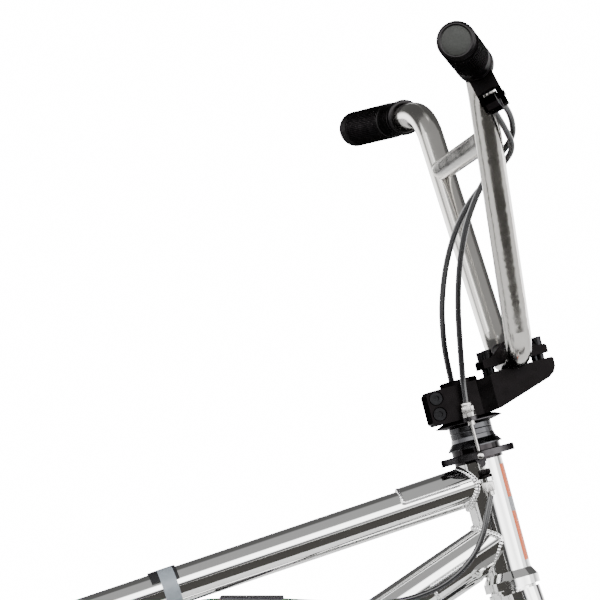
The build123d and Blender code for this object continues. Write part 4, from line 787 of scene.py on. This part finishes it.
def chain_rollers():
    """Roller centres in order round the loop, in the chain's plane."""
    centres = np.linalg.norm(BB - REAR_AXLE)
    line = unit(REAR_AXLE - BB)
    lean = math.atan2(line[2], line[0])
    tilt = math.asin((FRONT_PITCH - REAR_PITCH) / centres)
    front_step, rear_step = 2 * math.pi / FRONT_TEETH, 2 * math.pi / REAR_TEETH
    front_share = (math.pi + 2 * tilt) / front_step
    rear_share = (math.pi - 2 * tilt) / rear_step
    run = centres * math.cos(tilt) / PITCH
    first = lean + math.pi / 2 - tilt

    def on(centre, radius, turn):
        across, up = radius * math.cos(turn), radius * math.sin(turn)
        return np.array([centre[0] + across, CHAIN_SIDE, centre[2] + up])

    points = []
    leave = first - (math.pi + 2 * tilt)
    for link in range(LINKS):
        at = float(link)
        if at <= front_share:
            points.append(on(BB, FRONT_PITCH, first - at * front_step))
            continue
        at -= front_share
        if at <= run:
            start, end = on(BB, FRONT_PITCH, leave), on(REAR_AXLE, REAR_PITCH, leave)
            points.append(start + (end - start) * at / run)
            continue
        at -= run
        if at <= rear_share:
            points.append(on(REAR_AXLE, REAR_PITCH, leave - at * rear_step))
            continue
        at -= rear_share
        start, end = on(REAR_AXLE, REAR_PITCH, first), on(BB, FRONT_PITCH, first)
        points.append(start + (end - start) * at / run)
    return points


def link_plate(a, b, low, high, radius, waist):
    """Flat waisted plate from pin to pin."""
    along = unit(b - a)
    up = np.cross(along, LEFT)
    length = np.linalg.norm(b - a)
    outline = []
    for k in range(9):
        turn = math.radians(90 + 22.5 * k)
        outline.append((radius * math.cos(turn), radius * math.sin(turn)))
    outline.append((length / 2, -waist))
    for k in range(9):
        turn = math.radians(-90 + 22.5 * k)
        outline.append((length + radius * math.cos(turn), radius * math.sin(turn)))
    outline.append((length / 2, waist))
    n = len(outline)
    verts = []
    for side in (low, high):
        for x, y in outline:
            verts.append(a + along * x + up * y + LEFT * side)
    faces = [list(range(n))[::-1], list(range(n, 2 * n))]
    faces += [[k, (k + 1) % n, n + (k + 1) % n, n + k] for k in range(n)]
    return verts, faces


def chain():
    """Inner and outer links in turn, with their rollers and rivets."""
    rollers = chain_rollers()
    parts = []
    for index, a in enumerate(rollers):
        b = rollers[(index + 1) % LINKS]
        low, radius = (1.75, 4.1) if index % 2 else (2.75, 3.9)
        for side in (1, -1):
            near, far = sorted((side * low, side * (low + PLATE_THICK)))
            parts.append(link_plate(a, b, near, far, radius, PLATE_WAIST))
        parts.append(lathe(ROLLER, a, LEFT, 14))
        parts.append(lathe(RIVET, a, LEFT, 12))
    verts, faces = join(parts)
    obj = piece("chain_links", verts, faces, "frame", CHAIN, sharp=30)
    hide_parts("chain")


chain()


# ---- cable barrels at the detangler --------------------------------------------------------
def hex_nut(centre, axis, low, high, across, bore):
    """Hexagon nut with chamfered corners."""
    corner = across / math.sqrt(3)

    def flats(turn, row):
        if row in (0, 5):
            return 0.0
        sector = (turn + math.pi / 6) % (math.pi / 3) - math.pi / 6
        return min(corner * math.cos(math.pi / 6) / math.cos(sector), corner * 0.97) - corner * 0.87

    base = corner * 0.87
    edge = [(bore, low), (base - 0.6, low), (base, low + 0.5)]
    edge += [(base, high - 0.5), (base - 0.6, high), (bore, high)]
    return lathe(edge, centre, axis, 48, lambda t, r: flats(t, r) if r in (2, 3) else 0.0, closed=True)


def knurled(centre, axis, profile, rows, ridges, depth=0.22):
    """Turned piece with fine ridges on some of its rows."""
    def ridge(turn, row):
        return depth * math.cos(ridges * turn) if row in rows else 0.0

    return lathe(profile, centre, axis, 156, ridge, closed=True)


THREAD_RADIUS = 3.0
# (radius, height above the foot of the head tube)
UPPER_BARREL = [
    (1.3, 125.5), (3.0, 125.5), (3.0, 136.4), (4.4, 136.5), (4.8, 137.0), (4.8, 141.0),
    (4.4, 141.4), (4.4, 142.2), (4.8, 142.6), (4.8, 144.0), (4.3, 144.6), (1.3, 144.6),
]
LOWER_BARREL = [
    (1.3, 65.0), (3.4, 65.0), (3.9, 65.5), (3.9, 68.4), (4.9, 68.9), (4.9, 75.4), (4.4, 76.9),
    (3.0, 77.0), (3.0, 88.0), (1.3, 88.0),
]
LOWER_COLLAR = [(3.02, 83.0), (4.5, 83.1), (4.9, 83.6), (4.9, 86.9), (4.5, 87.4), (3.02, 87.5)]


def cable_barrels():
    """Cable adjusters above and below the detangler, with their lock nuts."""
    upper_nuts, upper, lower, lower_nuts = [], [], [], []
    for side in (1, -1):
        centre = head(WIRE_FORWARD, 0.0, side * WIRE_SIDE)
        upper_nuts.append(hex_nut(centre, HEAD_UP, 132.05, 136.4, 10.4, THREAD_RADIUS))
        upper.append(knurled(centre, HEAD_UP, UPPER_BARREL, (4, 5), 28))
        lower.append(knurled(centre, HEAD_UP, LOWER_BARREL, (4, 5), 28))
        lower_nuts.append(hex_nut(centre, HEAD_UP, 80.05, 83.0, 10.0, THREAD_RADIUS))
        lower_nuts.append(knurled(centre, HEAD_UP, LOWER_COLLAR, (2, 3), 22, 0.3))
    for name, parts, body in (
        ("upper_barrels", upper_nuts + upper, "steering"),
        ("lower_barrels", lower, "frame"),
    ):
        verts, faces = join(parts)
        obj = piece(name, verts, faces, body, BRIGHT, sharp=40)
        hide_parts(name.replace("_barrels", "_cable_barrels"))
    verts, faces = join(lower_nuts)
    piece("lower_barrel_nuts", verts, faces, "frame", BLACK_GLOSS, sharp=40)


cable_barrels()


def shell_patch(origin, axis, toward, radius, thick, turns, low, high, steps=14, rows=2):
    """Closed curved patch on a tube. turns are degrees round the axis from toward."""
    axis, toward = unit(axis), unit(toward)
    side = np.cross(axis, toward)
    verts = []
    for r in (radius, radius + thick):
        for b in np.linspace(low, high, rows):
            for k in range(steps):
                turn = math.radians(turns[0] + (turns[1] - turns[0]) * k / (steps - 1))
                verts.append(origin + axis * b + (toward * math.cos(turn) + side * math.sin(turn)) * r)
    n = rows * steps
    faces = []
    for r in range(rows - 1):
        for k in range(steps - 1):
            a, b = r * steps + k, r * steps + k + 1
            faces.append([a, a + steps, b + steps, b])
            faces.append([n + a, n + b, n + b + steps, n + a + steps])
    rim = [r * steps for r in range(rows)] + [(rows - 1) * steps + k for k in range(1, steps)]
    rim += [r * steps + steps - 1 for r in range(rows - 2, -1, -1)] + list(range(steps - 2, 0, -1))
    count = len(rim)
    for k in range(count):
        a, b = rim[k], rim[(k + 1) % count]
        faces.append([a, b, n + b, n + a])
    return verts, faces


HEAD_TUBE_RADIUS = 19.0
STRIPE_THICK = 0.17
STRIPE_TURNS = ((3, 43), (-43, -3))
STRIPE_BANDS = (
    ("low", 6.0, 48.0, ORANGE),
    ("middle", 48.0, 60.0, GREY_STRIPE),
    ("top", 60.0, 88.4, ORANGE),
)


def head_stripe():
    """Coloured stripe down each side of the head tube, towards the front."""
    for tag, low, high, material in STRIPE_BANDS:
        parts = []
        for turns in STRIPE_TURNS:
            parts.append(
                shell_patch(
                    HEAD_FOOT, HEAD_UP, HEAD_FORWARD, HEAD_TUBE_RADIUS, STRIPE_THICK, turns, low, high
                )
            )
        verts, faces = join(parts)
        piece("head_stripe_" + tag, verts, faces, "frame", material, sharp=40)


head_stripe()


LINER_RADIUS = 15.95
LINER_THICK = 1.5
# distance behind the head tube to each end, and degrees round the top tube
LINER_PATCHES = (
    (284.0, 291.5, (-62, 62)),
    (268.2, 271.0, (-70, 70)),
    (284.0, 287.0, (128, 232)),
)


def strap_liner():
    """Thin black liner that stands out from under the top tube's band at both ends."""
    parts = []
    for low, high, turns in LINER_PATCHES:
        parts.append(
            shell_patch(
                TOP_FRONT, TOP_AXIS, OVER_TOP, LINER_RADIUS, LINER_THICK, turns, low, high, 26
            )
        )
    verts, faces = join(parts)
    piece("strap_liner", verts, faces, "frame", SHIM, sharp=40)


strap_liner()


# ---- saddle --------------------------------------------------------------------------------
def puff(obj, voxel, pressure, frames, cap):
    """Swells a closed form with cloth pressure, limits the movement, and keeps the result."""
    remesh = obj.modifiers.new("remesh", "REMESH")
    remesh.mode = "VOXEL"
    remesh.voxel_size = voxel
    remesh.use_smooth_shade = True
    graph = bpy.context.evaluated_depsgraph_get()
    mesh = bpy.data.meshes.new_from_object(obj.evaluated_get(graph))
    obj.modifiers.clear()
    materials = list(obj.data.materials)
    obj.data = mesh
    obj.data.materials.clear()
    for material in materials:
        obj.data.materials.append(material)
    start = np.array([v.co[:] for v in obj.data.vertices])
    cloth = obj.modifiers.new("cloth", "CLOTH")
    cloth.settings.use_pressure = True
    cloth.settings.uniform_pressure_force = pressure
    cloth.settings.effector_weights.gravity = 0.0
    cloth.settings.quality = 5
    scene = bpy.context.scene
    for number in range(1, frames + 1):
        scene.frame_set(number)
    graph = bpy.context.evaluated_depsgraph_get()
    result = bpy.data.meshes.new_from_object(obj.evaluated_get(graph))
    moved = np.array([v.co[:] for v in result.vertices]) - start
    size = np.linalg.norm(moved, axis=1)[:, None]
    moved *= np.minimum(1.0, cap / np.maximum(size, 1e-9))
    obj.modifiers.clear()
    obj.data.vertices.foreach_set("co", (start + moved).ravel())
    obj.data.update()
    scene.frame_set(1)


SADDLE_BASE = SADDLE_PIN + np.array([0.0, 0.0, 40.0])
SADDLE_STATIONS = [
    (-121, 38, 6), (-116, 54, 9), (-100, 68, 15), (-72, 72.5, 19), (-40, 63, 19.5), (-10, 47, 18),
    (20, 34, 16.5), (55, 26, 15.5), (88, 22, 14.5), (108, 18.5, 12), (118, 12, 8), (121.5, 6, 4),
]


def smooth_loop(points, steps):
    """Closed Catmull-Rom line through points."""
    n = len(points)
    line = []
    for i in range(n):
        p0, p1, p2, p3 = points[i - 1], points[i], points[(i + 1) % n], points[(i + 2) % n]
        for t in np.linspace(0, 1, steps, endpoint=False):
            line.append(
                0.5 * (2 * p1 + (p2 - p0) * t + (2 * p0 - 5 * p1 + 4 * p2 - p3) * t**2
                       + (3 * p1 - p0 - 3 * p2 + p3) * t**3)
            )
    return np.array(line)


def saddle_section(x, half, crown, ring):
    """Ring of points across the saddle at a distance along it."""
    points = []
    for k in range(ring):
        turn = 2 * math.pi * k / ring
        c, s = math.cos(turn), math.sin(turn)
        y = half * math.copysign(abs(c) ** 0.62, c)
        z = (crown * abs(s) ** 0.72) if s > 0 else -9.0 * abs(s) ** 0.45
        dip = 2.2 * math.exp(-((y / (half * 0.28)) ** 2)) if s > 0 and x < 60 else 0.0
        points.append(SADDLE_BASE + np.array([x, y, z - dip - 2.5]))
    return points


def saddle():
    """Padded top with a line of piping round its lower edge."""
    ring = 48
    verts = []
    for x, half, crown in SADDLE_STATIONS:
        verts += saddle_section(x, half, crown, ring)
    faces = grid_faces(len(SADDLE_STATIONS), ring)
    faces.append(list(range(ring)))
    faces.append([(len(SADDLE_STATIONS) - 1) * ring + k for k in range(ring)][::-1])
    obj = piece("saddle_pad", verts, faces, "saddle", SADDLE)
    puff(obj, 4 * MM, 2.0, 16, 3.5 * MM)
    smooth = obj.modifiers.new("smooth", "CORRECTIVE_SMOOTH")
    smooth.use_only_smooth = True
    smooth.iterations = 6
    sub = obj.modifiers.new("sub", "SUBSURF")
    sub.levels = sub.render_levels = 1
    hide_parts("saddle")
    edge = []
    for side in (1, -1):
        stations = SADDLE_STATIONS if side > 0 else SADDLE_STATIONS[::-1]
        for x, half, _ in stations:
            edge.append(SADDLE_BASE + np.array([x, side * (half + 0.6), -4.4]))
    line = smooth_loop(np.array(edge), 6)
    verts, faces = tube_along(line, [1.5] * len(line), 8, True)
    piece("saddle_piping", verts, faces, "saddle", PLASTIC)


saddle()


# ---- stage, lights and camera --------------------------------------------------------------
ROOM_LEVEL = 2.6
BACKDROP_LEVEL = 16.0
# azimuths from the camera's side, positive to the right; heights above the horizon; softness; level
STUDIO_ZONES = [
    (None, (38, 88), 3, 0.50),
    ((-36, -14), (-60, -10), 3, 0.09),
    ((-14, 8), (-60, 9), 4, 0.09),
    ((-75, 75), (11, 36), 2, 7.0),
    (None, (86, 90), 2, 2.0),
    ((-180, -100), (12, 75), 4, 0.14),
    ((100, 180), (12, 75), 4, 0.14),
    ((14, 100), (-12, 9), 4, 6.0),
    ((-180, -95), (-12, 9), 4, 5.0),
    ((100, 180), (-12, 9), 4, 5.0),
    ((-190, -164), (-20, 12), 4, 0.06),
    ((164, 190), (-20, 12), 4, 0.06),
]


def studio():
    """Pale room with a bright band, dark flags in front and a white backdrop for the camera."""
    world = bpy.data.worlds.new("studio")
    bpy.context.scene.world = world
    world.use_nodes = True
    nodes, links = world.node_tree.nodes, world.node_tree.links
    background = nodes["Background"]

    def maths(operation, a, b=None, c=None):
        node = nodes.new("ShaderNodeMath")
        node.operation = operation
        for index, value in enumerate((a, b, c)):
            if value is None:
                continue
            if isinstance(value, (int, float)):
                node.inputs[index].default_value = value
            else:
                links.new(value, node.inputs[index])
        return node.outputs["Value"]

    def between(value, low, high, soft):
        """1 inside a range, falling softly to 0 outside it."""
        rise = nodes.new("ShaderNodeMapRange")
        rise.interpolation_type = "SMOOTHSTEP"
        rise.inputs["From Min"].default_value = low - soft
        rise.inputs["From Max"].default_value = low + soft
        links.new(value, rise.inputs["Value"])
        fall = nodes.new("ShaderNodeMapRange")
        fall.interpolation_type = "SMOOTHSTEP"
        fall.inputs["From Min"].default_value = high - soft
        fall.inputs["From Max"].default_value = high + soft
        fall.inputs["To Min"].default_value = 1.0
        fall.inputs["To Max"].default_value = 0.0
        links.new(value, fall.inputs["Value"])
        return maths("MULTIPLY", rise.outputs["Result"], fall.outputs["Result"])

    place = nodes.new("ShaderNodeTexCoord")
    split = nodes.new("ShaderNodeSeparateXYZ")
    links.new(place.outputs["Generated"], split.inputs["Vector"])
    x, y, z = split.outputs["X"], split.outputs["Y"], split.outputs["Z"]
    height = maths("MULTIPLY", maths("ARCSINE", z), 180 / math.pi)
    azimuth = maths("MULTIPLY", maths("ARCTAN2", x, maths("MULTIPLY", y, -1.0)), 180 / math.pi)

    value = ROOM_LEVEL
    for azimuths, heights, soft, level in STUDIO_ZONES:
        mask = between(height, *heights, soft)
        if azimuths is not None:
            mask = maths("MULTIPLY", mask, between(azimuth, *azimuths, soft))
        # the level where the mask is 1, what was there before where it is 0
        kept = maths("MULTIPLY", maths("SUBTRACT", 1.0, mask), value)
        value = maths("MULTIPLY_ADD", mask, level, kept)
    seen = nodes.new("ShaderNodeLightPath").outputs["Is Camera Ray"]
    kept = maths("MULTIPLY", maths("SUBTRACT", 1.0, seen), value)
    strength = maths("MULTIPLY_ADD", seen, BACKDROP_LEVEL, kept)
    links.new(strength, background.inputs["Strength"])
    background.inputs["Color"].default_value = (1, 1, 1, 1)


def area_light(name, place, target, size, power):
    data = bpy.data.lights.new(name, "AREA")
    data.shape = "RECTANGLE"
    data.size, data.size_y = size
    data.energy = power
    light = bpy.data.objects.new(name, data)
    bpy.context.scene.collection.objects.link(light)
    light.location = place
    aim = Vector(target) - Vector(place)
    light.rotation_euler = aim.to_track_quat("-Z", "Y").to_euler()
    return light


def flat_sheet(name, corners, material):
    mesh = bpy.data.meshes.new(name)
    mesh.from_pydata(corners, [], [[0, 1, 2, 3]])
    obj = bpy.data.objects.new(name, mesh)
    bpy.context.scene.collection.objects.link(obj)
    obj.data.materials.append(material)
    return obj


def rectangle(x, near, far, z):
    """Corners of a level rectangle from -x to x."""
    return [(-x, near, z), (x, near, z), (x, far, z), (-x, far, z)]


def floor():
    """Pale floor, and a dark cloth in front that only the reflections see."""
    paint = surface(
        "floor_paint", (0.84, 0.84, 0.84), metallic=0.0, rough=(0.6, 0.75),
        spread=0.02, scale=3, bump=0.05, bump_scale=300,
    )
    flat_sheet("floor", rectangle(9, -9, 9, -0.0005), paint)
    dark = surface(
        "flag_cloth", (0.05, 0.048, 0.045), metallic=0.0, rough=(0.8, 0.95),
        spread=0.05, scale=20, bump=0.1, bump_scale=300, specular=0.0,
    )
    flag = flat_sheet("floor_flag", rectangle(7, -8, -0.55, 0.002), dark)
    flag.visible_camera = flag.visible_diffuse = flag.visible_shadow = False
    flag.visible_transmission = False


CAMERA_PLACE = (-0.2533, -4.453, 0.508)
CAMERA_TARGET = (0.1749, 0.0, 0.7839)
CAMERA_LENS = 323.0
CAMERA_SENSOR = 36.0


def camera():
    data = bpy.data.cameras.new("camera")
    data.lens = CAMERA_LENS
    data.sensor_width = CAMERA_SENSOR
    data.clip_end = 100.0
    obj = bpy.data.objects.new("camera", data)
    bpy.context.scene.collection.objects.link(obj)
    obj.location = CAMERA_PLACE
    aim = Vector(CAMERA_TARGET) - Vector(CAMERA_PLACE)
    obj.rotation_euler = aim.to_track_quat("-Z", "Y").to_euler()
    bpy.context.scene.camera = obj


studio()
floor()
overhead = area_light("overhead", place=(0.3, 0.4, 3.4), target=(0, 0, 0.5), size=(2.6, 1.6), power=60)
overhead.visible_glossy = False
camera()
